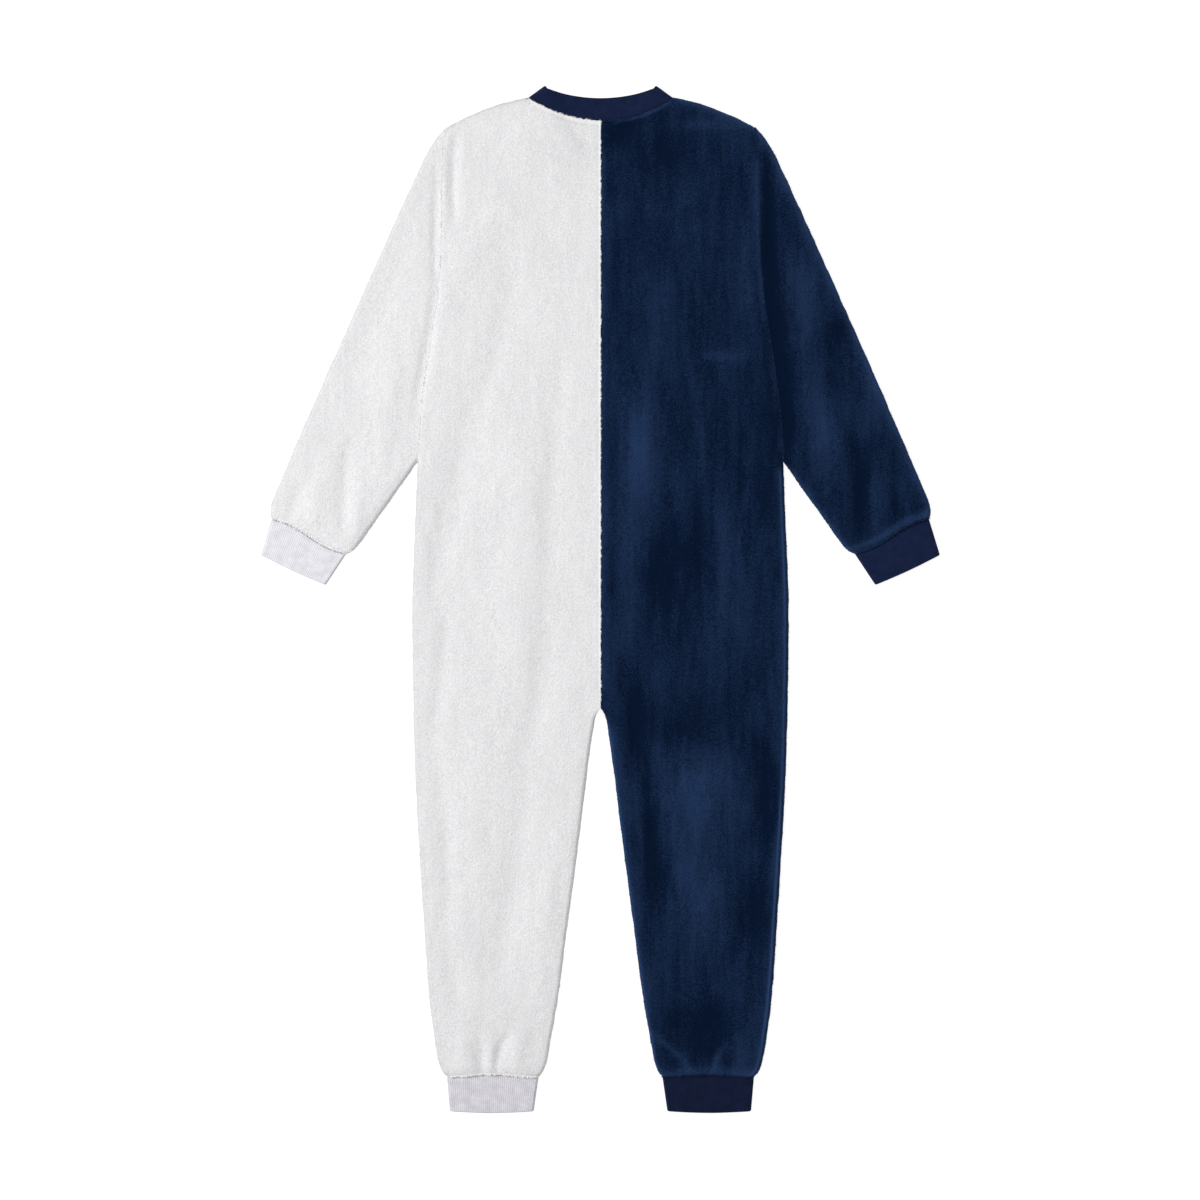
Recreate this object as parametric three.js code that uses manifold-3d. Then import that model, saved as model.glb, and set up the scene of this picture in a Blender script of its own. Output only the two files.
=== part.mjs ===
// A child's one-piece pajama in plush fleece with knitted rib trims. It lies flat on its front, back up.
// Sizes are in millimetres. +X points to the wearer's right, +Y to the neck and +Z up from the surface.
// The origin is on that surface, under the middle of the garment's outline.
// Each half is drawn with x measured outwards from the centre line, and mirrored for the wearer's left.
import * as THREE from 'three';
import { mergeVertices } from 'three/addons/utils/BufferGeometryUtils.js';
import Module from 'manifold-3d';

const wasm = await Module();
wasm.setup();
const { clamp, lerp, smoothstep, degToRad } = THREE.MathUtils;

// Cloth: how thick each wall is, and how high two layers of it stand
const FLEECE = 3;
const RIB = 2.4;
const SEAM_GAP = 0.3;
const LOFT = 8.6;
const HEM_LOFT = 6.6;
const HEM_ROLL = 8;
const CUFF_LOFT = 5.6;
const DEEPEST_TROUGH = -2.2;
const FREE_RISE = 1.3;
const LAYER_CLEARANCE = 0.4;
const FOLD_ENDS = { from: 0.15, to: 0.85 };
const SEAM_GROOVE = { depth: 1.2, width: 2.6 };

// Outline of the body: heights up the centre line and points of the shoulder
const HEM_Y = -477;
const HEM_WAVE = 2.8;
const CROTCH_Y = -108.5;
const CROTCH_ROUND = 12;
const UNDERARM_Y = 137.5;
const SHOULDER_TIP = { x: 155, y: 471.5 };
const SHOULDER_CROWN = 4;

// Neckline and neckband: how deep the seam and the band's edge dip in front and behind
const BAND_FOLD_SEAM = { x: 69.2, y: 498.9 };
const BAND_FOLD_EDGE = { x: 53, y: 510.7 };
const NECK = {
  back: { seamY: 478.5, edgeY: 501.5, power: 2 },
  front: { seamY: 412.5, edgeY: 433.5, power: 2.6 },
};
const BAND_WALL = 2.6;
const BAND_LOFT = 8.2;
const NECK_SAG = { depth: 3, centreY: 513.5, halfWidth: 55.5, halfHeight: 80, flatShare: 0.6 };

// Zip in the centre front
const CHANNEL = 5.5;
const CHANNEL_OPENING = { from: -14, middle: -10, to: -6 };
const OVER_ZIP = { from: 14, to: 34, share: 0.3, below: 20 };
const ZIP_END_Y = -30;
const ZIP_TOP_Y = 432;
const TAPE = { inner: 2.9, outer: 14, low: 3.35, high: 3.85, pastTeeth: 12 };
const CHAIN = { halfWidth: 2.6, low: 3, high: 4.2 };
const STOP = { length: 4, overlap: 2, proud: 0.3 };
const SLIDER = { halfWidth: 4.6, length: 12, low: 2.1, high: 5.1, plate: 0.6, flange: 0.7, topY: 431 };
const POST = { halfWidth: 1.2, length: 4 };
const ARCH = { halfWidth: 0.8, halfLength: 2.6, leg: 0.8, low: 0.15, high: 0.7 };
const PULL = { halfWidth: 3.2, length: 24, low: 0.9, high: 1.8, corner: 2.4 };
const PULL_ROD = { radius: 0.4, z: 1.35 };
const PULL_EYE = { width: 2.6, length: 3.4 };
const HINGE_Y = SLIDER.topY - 6;

// Edges of the body, in mm from the centre line
const INNER_LEG = [
  { y: -477, x: 62 },
  { y: -474, x: 58.6 },
  { y: -468, x: 55.6 },
  { y: -460, x: 53 },
  { y: -440, x: 49.6 },
  { y: -400, x: 42.6 },
  { y: -320, x: 32 },
  { y: -240, x: 21.5 },
  { y: -160, x: 11.5 },
  { y: -120.5, x: 5.6 },
  { y: -113, x: 3.4 },
  { y: CROTCH_Y, x: 0 },
];
const SIDE = [
  { y: -477, x: 153.5 },
  { y: -474, x: 157 },
  { y: -468, x: 160 },
  { y: -460, x: 162.6 },
  { y: -440, x: 166 },
  { y: -400, x: 171.3 },
  { y: -320, x: 177 },
  { y: -240, x: 182 },
  { y: -160, x: 186 },
  { y: -60, x: 188 },
  { y: 0, x: 188.3 },
  { y: 60, x: 186.2 },
  { y: UNDERARM_Y, x: 183 },
];
const ARMHOLE = [
  { y: UNDERARM_Y, x: 183 },
  { y: 190, x: 179.3 },
  { y: 225, x: 175 },
  { y: 260, x: 169.5 },
  { y: 300, x: 163.4 },
  { y: 350, x: 159.4 },
  { y: 430, x: 158.5 },
  { y: 471.5, x: 155 },
];

// Edges of the sleeve, from the cuff seam (share 0) to the armhole (share 1)
const SLEEVE = [
  { share: 0, topX: 328.5, topY: 80.5, underX: 254.5, underY: 45.5 },
  { share: 0.008, topX: 330, topY: 85, underX: 248.5, underY: 48 },
  { share: 0.023, topX: 329.8, topY: 91.5, underX: 243.7, underY: 52.2 },
  { share: 0.045, topX: 327.5, topY: 99.5, underX: 242.1, underY: 54.4 },
  { share: 0.15, topX: 308, topY: 146, underX: 235.4, underY: 63.8 },
  { share: 0.5, topX: 251, topY: 276, underX: 213.8, underY: 94.2 },
  { share: 0.9, topX: 178, topY: 437, underX: 189, underY: 129 },
  { share: 0.96, topX: 165, topY: 460, underX: 185.5, underY: 134 },
  { share: 1, topX: SHOULDER_TIP.x, topY: SHOULDER_TIP.y, underX: 183, underY: UNDERARM_Y },
];
const SLEEVE_WAVE = 2.4;

// Rib cuffs: the corners of each, seam end first
const SLEEVE_CUFF = { topX: 339.5, topY: 44.5, underX: 275, underY: 14.5, bow: 1 };
const LEG_CUFF = { innerX: 67, outerX: 150.5, y: -511.8, bow: 1.7 };

// Soft folds of the upper layer. A positive height is a ridge and a negative one a trough.
const LEFT_FOLDS = [
  { fromX: 90, fromY: 340, toX: 123, toY: 192, bow: -8, width: 14, height: -1.9 },
  { fromX: 123, fromY: 192, toX: 157, toY: 22, bow: 6, width: 17, height: -2.1 },
  { fromX: 152, fromY: 90, toX: 168, toY: -20, bow: 0, width: 9, height: -0.9 },
  { fromX: 66, fromY: 150, toX: 86, toY: -90, bow: 5, width: 22, height: 1.5 },
  { fromX: 37, fromY: 240, toX: 52, toY: 30, bow: 3, width: 13, height: -1.6 },
  { fromX: 51, fromY: -10, toX: 76, toY: -170, bow: -4, width: 14, height: -1.7 },
  { fromX: 79, fromY: -190, toX: 106, toY: -380, bow: -6, width: 14, height: -2 },
  { fromX: 112, fromY: -120, toX: 128, toY: -290, bow: 4, width: 16, height: 1.2 },
  { fromX: 150, fromY: 0, toX: 166, toY: -136, bow: 0, width: 9, height: -1.7 },
  { fromX: 165, fromY: -150, toX: 153, toY: -335, bow: -5, width: 9, height: -1.5 },
  { fromX: 149, fromY: -352, toX: 143, toY: -400, bow: 0, width: 12, height: -1.8 },
  { fromX: 40, fromY: -230, toX: 62, toY: -400, bow: 3, width: 10, height: 1.2 },
  { fromX: 90, fromY: -408, toX: 104, toY: -472, bow: 3, width: 5.5, height: -2.2 },
  { fromX: 119, fromY: -448, toX: 116, toY: -476, bow: 0, width: 5, height: -2.2 },
  { fromX: 111, fromY: -444, toX: 110, toY: -477, bow: 0, width: 5, height: 2.4 },
  { fromX: 80, fromY: -430, toX: 82, toY: -474, bow: 2, width: 9, height: 2.2 },
  { fromX: 137, fromY: -430, toX: 134, toY: -474, bow: 0, width: 10, height: 1.8 },
  { fromX: 144.5, fromY: 458, toX: 146, toY: 378, bow: 2, width: 5, height: -2.1 },
  { fromX: 163, fromY: 432, toX: 165, toY: 300, bow: 1, width: 5, height: -1.7 },
  { fromX: 165, fromY: 300, toX: 184, toY: 188, bow: 0, width: 6, height: -1.9 },
  { fromX: 100, fromY: 390, toX: 150, toY: 300, bow: 5, width: 14, height: 1 },
  { fromX: 200, fromY: 350, toX: 238, toY: 245, bow: 0, width: 15, height: -1.2 },
  { fromX: 205, fromY: 240, toX: 222, toY: 130, bow: 0, width: 13, height: 1.3 },
  { fromX: 248, fromY: 165, toX: 256, toY: 72, bow: 3, width: 8, height: -2.1 },
  { fromX: 236, fromY: 120, toX: 248, toY: 66, bow: 0, width: 8, height: 1.4 },
  { fromX: 278, fromY: 116, toX: 286, toY: 76, bow: 0, width: 9, height: 1.6 },
  { fromX: 300, fromY: 112, toX: 310, toY: 82, bow: 0, width: 7, height: -1.5 },
];
const RIGHT_FOLDS = [
  { fromX: 170, fromY: 440, toX: 169, toY: 300, bow: 1, width: 8, height: -2.1 },
  { fromX: 170, fromY: 300, toX: 190, toY: 165, bow: 0, width: 9, height: -2.1 },
  { fromX: 151, fromY: 445, toX: 151, toY: 300, bow: -1, width: 6, height: 1.2 },
  { fromX: 101, fromY: 242, toX: 146, toY: 238, bow: 2, width: 6, height: 1.2 },
  { fromX: 36, fromY: 215, toX: 40, toY: 60, bow: 2, width: 16, height: 1.5 },
  { fromX: 68, fromY: 220, toX: 72, toY: 70, bow: -3, width: 10, height: -1.4 },
  { fromX: 94, fromY: 150, toX: 99, toY: 10, bow: 2, width: 8, height: -1.5 },
  { fromX: 118, fromY: 150, toX: 121, toY: -20, bow: 3, width: 10, height: 1.2 },
  { fromX: 142, fromY: 160, toX: 148, toY: 20, bow: -2, width: 10, height: -1.4 },
  { fromX: 60, fromY: 50, toX: 66, toY: -50, bow: 0, width: 14, height: -1.3 },
  { fromX: 24, fromY: -60, toX: 48, toY: -188, bow: -3, width: 8, height: -2 },
  { fromX: 48, fromY: -188, toX: 61, toY: -312, bow: 2, width: 8, height: -1.9 },
  { fromX: 62, fromY: -132, toX: 116, toY: -141, bow: 4, width: 10, height: -1.7 },
  { fromX: 84, fromY: -180, toX: 92, toY: -300, bow: 4, width: 22, height: 1.4 },
  { fromX: 160, fromY: -150, toX: 162, toY: -262, bow: 3, width: 9, height: -1.8 },
  { fromX: 161, fromY: -272, toX: 137, toY: -345, bow: 4, width: 10, height: -1.7 },
  { fromX: 100, fromY: -392, toX: 104, toY: -446, bow: 0, width: 20, height: -2 },
  { fromX: 62, fromY: -440, toX: 92, toY: -472, bow: 3, width: 5, height: 2.4 },
  { fromX: 123, fromY: -448, toX: 114, toY: -473, bow: -2, width: 5, height: 2.4 },
  { fromX: 80, fromY: -448, toX: 72, toY: -475, bow: 0, width: 6, height: -1.9 },
  { fromX: 143, fromY: -425, toX: 138, toY: -473, bow: 0, width: 9, height: 1.9 },
  { fromX: 128, fromY: -455, toX: 127, toY: -475, bow: 0, width: 5, height: -1.6 },
  { fromX: 193, fromY: 345, toX: 212, toY: 226, bow: 3, width: 12, height: 1.5 },
  { fromX: 212, fromY: 226, toX: 228, toY: 125, bow: 0, width: 12, height: 1.5 },
  { fromX: 240, fromY: 270, toX: 262, toY: 190, bow: 0, width: 13, height: -1.2 },
  { fromX: 253, fromY: 165, toX: 260, toY: 72, bow: 3, width: 8, height: -2.1 },
  { fromX: 270, fromY: 135, toX: 275, toY: 78, bow: 0, width: 8, height: 1.7 },
  { fromX: 290, fromY: 110, toX: 300, toY: 80, bow: 0, width: 8, height: -1.8 },
];

// Grid steps: how finely each piece is divided
const FOLD_TURNS = [0, 45, 90].map(degToRad);
const FOLD_STATIONS = [0, 30, 60, 90, 120, 150, 180].map(degToRad);
const CELLS = {
  back: { neck: 5, shoulder: 6 },
  front: { neck: 5, shoulder: 4 },
  sleeve: 9,
};
const HEM_STOPS = [0, 2, 5, 9, 20, 40];
const CROTCH_STOPS = [-CROTCH_ROUND, -7, -3, 0];
const SLEEVE_STOPS = [0, 0.006, 0.016, 0.035, 0.08, 0.974, 1];
const CUFF_STOPS = [0, 0.25, 0.6, 1];
const STEP = { back: 40, front: 75, sleeveShare: 0.1 };

const flatPoint = (x, y) => new THREE.Vector2(x, y);

// The neckband folds over at the shoulder. Square to that fold, its bulge ends where the shoulder's starts.
const bandWidth = flatPoint(BAND_FOLD_EDGE.x - BAND_FOLD_SEAM.x, BAND_FOLD_EDGE.y - BAND_FOLD_SEAM.y);
const BAND_OUT = flatPoint(bandWidth.y, -bandWidth.x).normalize();
const FOLD_SEAM = flatPoint(BAND_FOLD_SEAM.x, BAND_FOLD_SEAM.y);
const NECK_POINT = FOLD_SEAM.clone().addScaledVector(BAND_OUT, (BAND_LOFT + SEAM_GAP) / 2);
const NECK_SHARE = FOLD_SEAM.x / SHOULDER_TIP.x;
const CORNER_SHARE = NECK_POINT.x / SHOULDER_TIP.x;

// Reads a column of a table at a value of its key, along a smooth curve through its rows.
function read(table, key, value, column) {
  const last = table.length - 1;
  const at = clamp(value, table[0][key], table[last][key]);
  const high = Math.max(table.findIndex((row) => row[key] >= at), 1);
  const low = high - 1;
  const slope = (i) => {
    const [before, after] = [table[Math.max(i - 1, 0)], table[Math.min(i + 1, last)]];
    return (after[column] - before[column]) / (after[key] - before[key]);
  };
  const span = table[high][key] - table[low][key];
  const t = (at - table[low][key]) / span;
  const rise = t * t * (3 - 2 * t);
  const curve = span * (t * (1 - t) ** 2 * slope(low) - t * t * (1 - t) * slope(high));
  return lerp(table[low][column], table[high][column], rise) + curve;
}

// Height that one fold adds at a point: a bell across its bowed line, lower towards both ends.
function foldHeight(fold, x, y) {
  const [dx, dy] = [fold.toX - fold.fromX, fold.toY - fold.fromY];
  const length = Math.hypot(dx, dy);
  const along = clamp(((x - fold.fromX) * dx + (y - fold.fromY) * dy) / length ** 2, 0, 1);
  const bow = (fold.bow * 4 * along * (1 - along)) / length;
  const lineX = fold.fromX + dx * along - dy * bow;
  const lineY = fold.fromY + dy * along + dx * bow;
  const away = Math.hypot(x - lineX, y - lineY) / fold.width;
  const taper = Math.sin(Math.PI * lerp(FOLD_ENDS.from, FOLD_ENDS.to, along));
  return fold.height * Math.exp(-away * away) * taper;
}

// How far the back sinks where the front's lower neckline leaves nothing under it.
function neckSag(x, y) {
  const { depth, centreY, halfWidth, halfHeight, flatShare } = NECK_SAG;
  const away = Math.hypot(x / halfWidth, (centreY - y) / halfHeight);
  return -depth * (1 - smoothstep(away, flatShare, 1));
}

// Height of the upper layer above its plain level. Over the zip the folds stay shallow.
function relief(folds, x, y) {
  const sum = folds.reduce((total, fold) => total + foldHeight(fold, x, y), 0);
  const overZip = y > ZIP_END_Y - OVER_ZIP.below ? smoothstep(x, OVER_ZIP.from, OVER_ZIP.to) : 1;
  return Math.max(sum * lerp(OVER_ZIP.share, 1, overZip), DEEPEST_TROUGH) + neckSag(x, y);
}

// The groove where seamed edges turn down, in the cloth's outer face alone.
function groove(x, y) {
  const toCentre = y > CROTCH_Y ? x : Infinity;
  const toArmhole = y > UNDERARM_Y ? Math.abs(x - read(ARMHOLE, 'y', y, 'x')) : Infinity;
  const away = Math.min(toCentre, toArmhole) / SEAM_GROOVE.width;
  return -SEAM_GROOVE.depth * Math.exp(-away * away);
}

// A cut piece in plan: a Coons patch between its low and high edges, which run up from the hem, and its ends.
class Cut {
  constructor({ low, high, hem, head, length }) {
    Object.assign(this, { low, high, hem, head, length });
    this.corners = [low(0), high(0), low(1), high(1)];
  }

  at(u, v) {
    const [a, b, c, d] = this.corners;
    const flat = a.clone().multiplyScalar((1 - u) * (1 - v));
    flat.addScaledVector(b, u * (1 - v)).addScaledVector(c, (1 - u) * v).addScaledVector(d, u * v);
    const point = this.low(v).clone().multiplyScalar(1 - u).addScaledVector(this.high(v), u);
    return point.addScaledVector(this.hem(u), 1 - v).addScaledVector(this.head(u), v).sub(flat);
  }

  // How far a row reaches, measured square to the edge it ends at (u is 0 or 1).
  across(u, v) {
    const nudge = 0.002;
    const along = this.at(u, Math.min(v + nudge, 1)).sub(this.at(u, Math.max(v - nudge, 0))).normalize();
    return Math.max(Math.abs(this.at(u, v).sub(this.at(1 - u, v)).cross(along)), 1);
  }

  // How far a column would reach at the slant it has at the head end, measured square to that end.
  down(u) {
    const nudge = 0.01;
    const along = this.at(Math.min(u + nudge, 1), 1).sub(this.at(Math.max(u - nudge, 0), 1)).normalize();
    return Math.abs(this.at(u, 1).sub(this.at(u, 1 - nudge)).cross(along)) / nudge;
  }
}

// How far the cloth has turned over from upright at its folded edge (0) to flat (90 degrees).
function turned(distance, radius, folded) {
  const round = distance < radius ? Math.acos(1 - distance / radius) : Math.PI / 2;
  return lerp(Math.PI / 2, round, folded);
}

// A point on a piece of cloth. face is 1 for the upper layer, -1 for the lower. skin is 0 outside, 1 inside.
function clothPoint(piece, u, v, face, skin) {
  const { cut, wall, folds } = piece;
  const [low, high, down] = [cut.across(0, v), cut.across(1, v), cut.down(u)];
  const radius = piece.loft(cut.at(u, v)) / 2;
  const lowTurn = turned(u * low, radius, piece.foldLow(v));
  const highTurn = turned((1 - u) * high, radius, piece.foldHigh(v));
  const headTurn = turned((1 - v) * down, radius, piece.foldHead(u));
  const upright = Math.sin(lowTurn) * Math.sin(highTurn) * Math.sin(headTurn);
  const inset = skin * wall;
  const innerU = u + inset * (Math.cos(lowTurn) / low - Math.cos(highTurn) / high);
  const innerV = v - (inset * Math.cos(headTurn)) / down;
  const flat = cut.at(innerU, innerV);
  const lift = folds ? relief(folds, flat.x, flat.y) : 0;
  const loft = 2 * radius;
  const rest = Math.max(lift - FREE_RISE, 0) * smoothstep(loft, HEM_LOFT, LOFT);
  const middle = radius + (face * piece.gap) / 2;
  const level = face > 0 ? Math.max(loft + lift, rest + 2 * wall + LAYER_CLEARANCE) : rest;
  const dent = folds && face > 0 && skin === 0 ? groove(flat.x, flat.y) : 0;
  const z = lerp(middle, level, upright) + (dent - face * inset) * upright;
  return new THREE.Vector3(flat.x, flat.y, z);
}

// Shares of a row at which its points stand: close round both folds, and even over the spans between.
function columns(piece, v) {
  const radius = piece.loft(piece.cut.at(0, v)) / 2;
  const inset = FOLD_TURNS.map((turn) => radius * (1 - Math.cos(turn)));
  const low = inset.map((distance) => distance / piece.cut.across(0, v));
  const high = inset.map((distance) => 1 - distance / piece.cut.across(1, v)).reverse();
  const shares = [...low];
  for (const { to, cells } of piece.spans) {
    const [start, end] = [shares.at(-1), Math.min(to, high[0])];
    for (let k = 1; k <= cells; k += 1) shares.push(lerp(start, end, k / cells));
  }
  return [...shares, ...high.slice(1)];
}

// Fills the stretches between named stops with even steps.
function stations(stops, step) {
  const list = [stops[0]];
  for (let i = 1; i < stops.length; i += 1) {
    const span = stops[i] - stops[i - 1];
    const count = Math.ceil(span / step - 0.001);
    for (let k = 1; k <= count; k += 1) list.push(stops[i - 1] + (span * k) / count);
  }
  return list;
}

// A closed wall between an outer and an inner grid of points. A ring joins its last column to its first.
function wallMesh(name, material, outer, inner, side, ring) {
  const [rows, cols] = [outer.length, outer[0].length];
  const corners = [...outer.flat(), ...inner.flat()].flatMap((p) => [p.x * side, p.y, p.z]);
  const at = (skin, i, j) => (skin * rows + i) * cols + (j % cols);
  const faces = [];
  const quad = (a, b, c, d) => faces.push(a, b, c, a, c, d);
  const lastCol = ring ? cols : cols - 1;
  for (let j = 0; j < lastCol; j += 1) {
    for (let i = 0; i < rows - 1; i += 1) {
      quad(at(0, i, j), at(0, i, j + 1), at(0, i + 1, j + 1), at(0, i + 1, j));
      quad(at(1, i, j), at(1, i + 1, j), at(1, i + 1, j + 1), at(1, i, j + 1));
    }
    quad(at(0, 0, j), at(1, 0, j), at(1, 0, j + 1), at(0, 0, j + 1));
    quad(at(0, rows - 1, j), at(0, rows - 1, j + 1), at(1, rows - 1, j + 1), at(1, rows - 1, j));
  }
  for (let i = 0; i < rows - 1 && !ring; i += 1) {
    quad(at(0, i, 0), at(0, i + 1, 0), at(1, i + 1, 0), at(1, i, 0));
    quad(at(0, i, cols - 1), at(1, i, cols - 1), at(1, i + 1, cols - 1), at(0, i + 1, cols - 1));
  }
  return closedMesh(name, material, corners, faces);
}

// A mesh whose faces all point outwards, whichever way round they were listed.
function closedMesh(name, material, corners, faces) {
  const p = (i) => new THREE.Vector3().fromArray(corners, faces[i] * 3);
  let volume = 0;
  for (let i = 0; i < faces.length; i += 3) volume += p(i).dot(p(i + 1).cross(p(i + 2)));
  const geometry = new THREE.BufferGeometry();
  geometry.setAttribute('position', new THREE.Float32BufferAttribute(corners, 3));
  geometry.setIndex(volume > 0 ? faces : faces.reverse());
  geometry.computeVertexNormals();
  const mesh = new THREE.Mesh(geometry, material);
  mesh.name = name;
  return mesh;
}

// One layer of cloth as an open wall, such as a front or a back panel.
function panelMesh(name, material, piece, rows, face, side) {
  const grid = (skin) => rows.map((v) => columns(piece, v).map((u) => clothPoint(piece, u, v, face, skin)));
  return wallMesh(name, material, grid(0), grid(1), side, false);
}

// Both layers of a sewn tube lying flat, such as a sleeve or a cuff.
function tubeMesh(name, material, piece, rows, side) {
  const ringOf = (v, skin) => {
    const shares = columns(piece, v);
    const upper = shares.map((u) => clothPoint(piece, u, v, 1, skin));
    const lower = shares.slice(1, -1).map((u) => clothPoint(piece, u, v, -1, skin));
    return [...upper, ...lower.reverse()];
  };
  const grid = (skin) => rows.map((v) => ringOf(v, skin));
  return wallMesh(name, material, grid(0), grid(1), side, true);
}

// Height of the two layers, rolling down to a rib seam.
function rolledLoft(fromSeam) {
  const share = clamp(fromSeam / HEM_ROLL, 0, 1);
  return lerp(HEM_LOFT, LOFT, Math.sqrt(1 - (1 - share) ** 2));
}

const never = () => 0;
const always = () => 1;

// A point of the neckband's free edge, from the centre (share 0) to the fold at the shoulder (share 1).
function bandEdge(where, share) {
  return flatPoint(BAND_FOLD_EDGE.x * share, lerp(where.edgeY, BAND_FOLD_EDGE.y, share ** where.power));
}

// A point of the neckline's seam, moved square to it: up on to the band, or down on to the panel if negative.
function neckSeam(where, share, move) {
  const rise = (at) => lerp(where.seamY, BAND_FOLD_SEAM.y, at ** where.power);
  const point = (at) => flatPoint(BAND_FOLD_SEAM.x * at, rise(at));
  const along = point(share + 0.01).sub(point(Math.max(share - 0.01, 0))).normalize();
  return point(share).addScaledVector(flatPoint(-along.y, along.x), move);
}

// The head of a front or back panel: its neckline, a short step round the band's fold, then its shoulder.
function panelHead(where, centreX) {
  const gap = SEAM_GAP / 2;
  const corner = NECK_POINT.clone().addScaledVector(flatPoint(BAND_OUT.y, -BAND_OUT.x), gap);
  const tip = flatPoint(SHOULDER_TIP.x - gap, SHOULDER_TIP.y);
  return (u) => {
    if (u <= NECK_SHARE) return neckSeam(where, lerp(centreX / BAND_FOLD_SEAM.x, 1, u / NECK_SHARE), -gap);
    if (u <= CORNER_SHARE) {
      return neckSeam(where, 1, -gap).lerp(corner, (u - NECK_SHARE) / (CORNER_SHARE - NECK_SHARE));
    }
    const t = (u - CORNER_SHARE) / (1 - CORNER_SHARE);
    return corner.clone().lerp(tip, t).add(flatPoint(0, SHOULDER_CROWN * 4 * t * (1 - t)));
  };
}

// Even columns up to the neckband's fold, one step round it, and even columns on to the side.
function panelSpans(cells) {
  return [
    { to: NECK_SHARE, cells: cells.neck },
    { to: CORNER_SHARE, cells: 1 },
    { to: 1, cells: cells.shoulder },
  ];
}

// A front or back panel of one half, with its leg. channelX is half the opening for the zip.
function panelPiece(where, folds, channelX, cells) {
  const gap = SEAM_GAP / 2;
  const head = panelHead(where, Math.max(channelX, gap));
  const hemToNeck = head(0).y - HEM_Y;
  const low = (v) => {
    const y = HEM_Y + hemToNeck * v;
    const leg = y < CROTCH_Y ? read(INNER_LEG, 'y', y, 'x') : 0;
    const opening = smoothstep(y, ZIP_END_Y + CHANNEL_OPENING.from, ZIP_END_Y + CHANNEL_OPENING.to);
    const channel = channelX * opening;
    return flatPoint(Math.max(leg, channel, gap), y);
  };
  const high = (v) => {
    const y = lerp(HEM_Y, SHOULDER_TIP.y, v);
    return flatPoint(read(y < UNDERARM_Y ? SIDE : ARMHOLE, 'y', y, 'x') - gap, y);
  };
  const hem = (u) =>
    flatPoint(lerp(low(0).x, high(0).x, u), HEM_Y + HEM_WAVE * Math.sin(Math.PI * u) ** 2);
  return {
    cut: new Cut({ low, high, hem, head, length: hemToNeck }),
    wall: FLEECE,
    gap: SEAM_GAP,
    folds,
    loft: (point) => rolledLoft(point.y - HEM_Y),
    foldLow: (v) => smoothstep(CROTCH_Y - low(v).y, 0, CROTCH_ROUND),
    foldHigh: (v) => 1 - smoothstep(high(v).y, UNDERARM_Y, UNDERARM_Y + LOFT / 2),
    foldHead: (u) => smoothstep(u, NECK_SHARE, CORNER_SHARE),
    spans: panelSpans(cells),
  };
}

// Shares at which a panel's rows stand: dense at the hem, the crotch, the underarm and the shoulder fold.
// Along the armhole they stand where the sleeve's points do, so that both edges follow one line.
function panelRows(piece, step, extraY, armholeY) {
  const { cut } = piece;
  const lowSpan = cut.low(1).y - HEM_Y;
  const highSpan = SHOULDER_TIP.y - HEM_Y;
  const hemStops = HEM_STOPS.map((distance) => distance / lowSpan);
  const crotchStops = CROTCH_STOPS.map((rise) => (CROTCH_Y + rise - HEM_Y) / lowSpan);
  const armholeStops = armholeY.map((y) => (y - HEM_Y) / highSpan);
  const extraStops = extraY.map((y) => (y - HEM_Y) / lowSpan);
  const inset = FOLD_TURNS.map((turn) => (LOFT / 2) * (1 - Math.cos(turn)));
  const headStops = inset.map((distance) => 1 - distance / cut.length);
  const stops = [...hemStops, ...crotchStops, ...armholeStops, ...extraStops, ...headStops];
  return stations(stops.sort((a, b) => a - b), step / cut.length);
}

// The line of a sleeve's cuff seam, and the direction from it down to the hand.
const CUFF_SEAM = {
  under: flatPoint(SLEEVE[0].underX, SLEEVE[0].underY),
  top: flatPoint(SLEEVE[0].topX, SLEEVE[0].topY),
};
const CUFF_ALONG = CUFF_SEAM.top.clone().sub(CUFF_SEAM.under).normalize();
const HANDWARD = flatPoint(CUFF_ALONG.y, -CUFF_ALONG.x);

function sleevePiece(folds) {
  const gap = SEAM_GAP / 2;
  const edge = (line) => (v) =>
    flatPoint(read(SLEEVE, 'share', v, `${line}X`) + gap * v, read(SLEEVE, 'share', v, `${line}Y`));
  const [low, high] = [edge('top'), edge('under')];
  const hem = (u) =>
    low(0).lerp(high(0), u).addScaledVector(HANDWARD, -SLEEVE_WAVE * Math.sin(2 * Math.PI * u) - gap);
  const head = (u) => {
    const y = lerp(SHOULDER_TIP.y, UNDERARM_Y, u);
    return flatPoint(read(ARMHOLE, 'y', y, 'x') + gap, y);
  };
  return {
    cut: new Cut({ low, high, hem, head, length: SHOULDER_TIP.y - CUFF_SEAM.top.y }),
    wall: FLEECE,
    gap: 0,
    folds,
    loft: (point) => rolledLoft(-point.clone().sub(CUFF_SEAM.under).dot(HANDWARD)),
    foldLow: always,
    foldHigh: always,
    foldHead: never,
    spans: [{ to: 1, cells: CELLS.sleeve }],
  };
}

// A rib cuff between its open end (v = 0) and its seam with the fleece (v = 1).
function cuffPiece({ end, seam, outward, bow, wave, spans }) {
  const edge = (k) => (v) => end[k].clone().lerp(seam[k], v);
  const [low, high] = [edge(0), edge(1)];
  const hem = (u) => low(0).lerp(high(0), u).addScaledVector(outward, bow * Math.sin(Math.PI * u));
  const head = (u) => low(1).lerp(high(1), u).addScaledVector(outward, wave(u) + SEAM_GAP / 2);
  return {
    cut: new Cut({ low, high, hem, head, length: end[0].distanceTo(seam[0]) }),
    wall: RIB,
    gap: 0,
    folds: null,
    loft: () => CUFF_LOFT,
    foldLow: always,
    foldHigh: always,
    foldHead: never,
    spans,
  };
}

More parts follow.
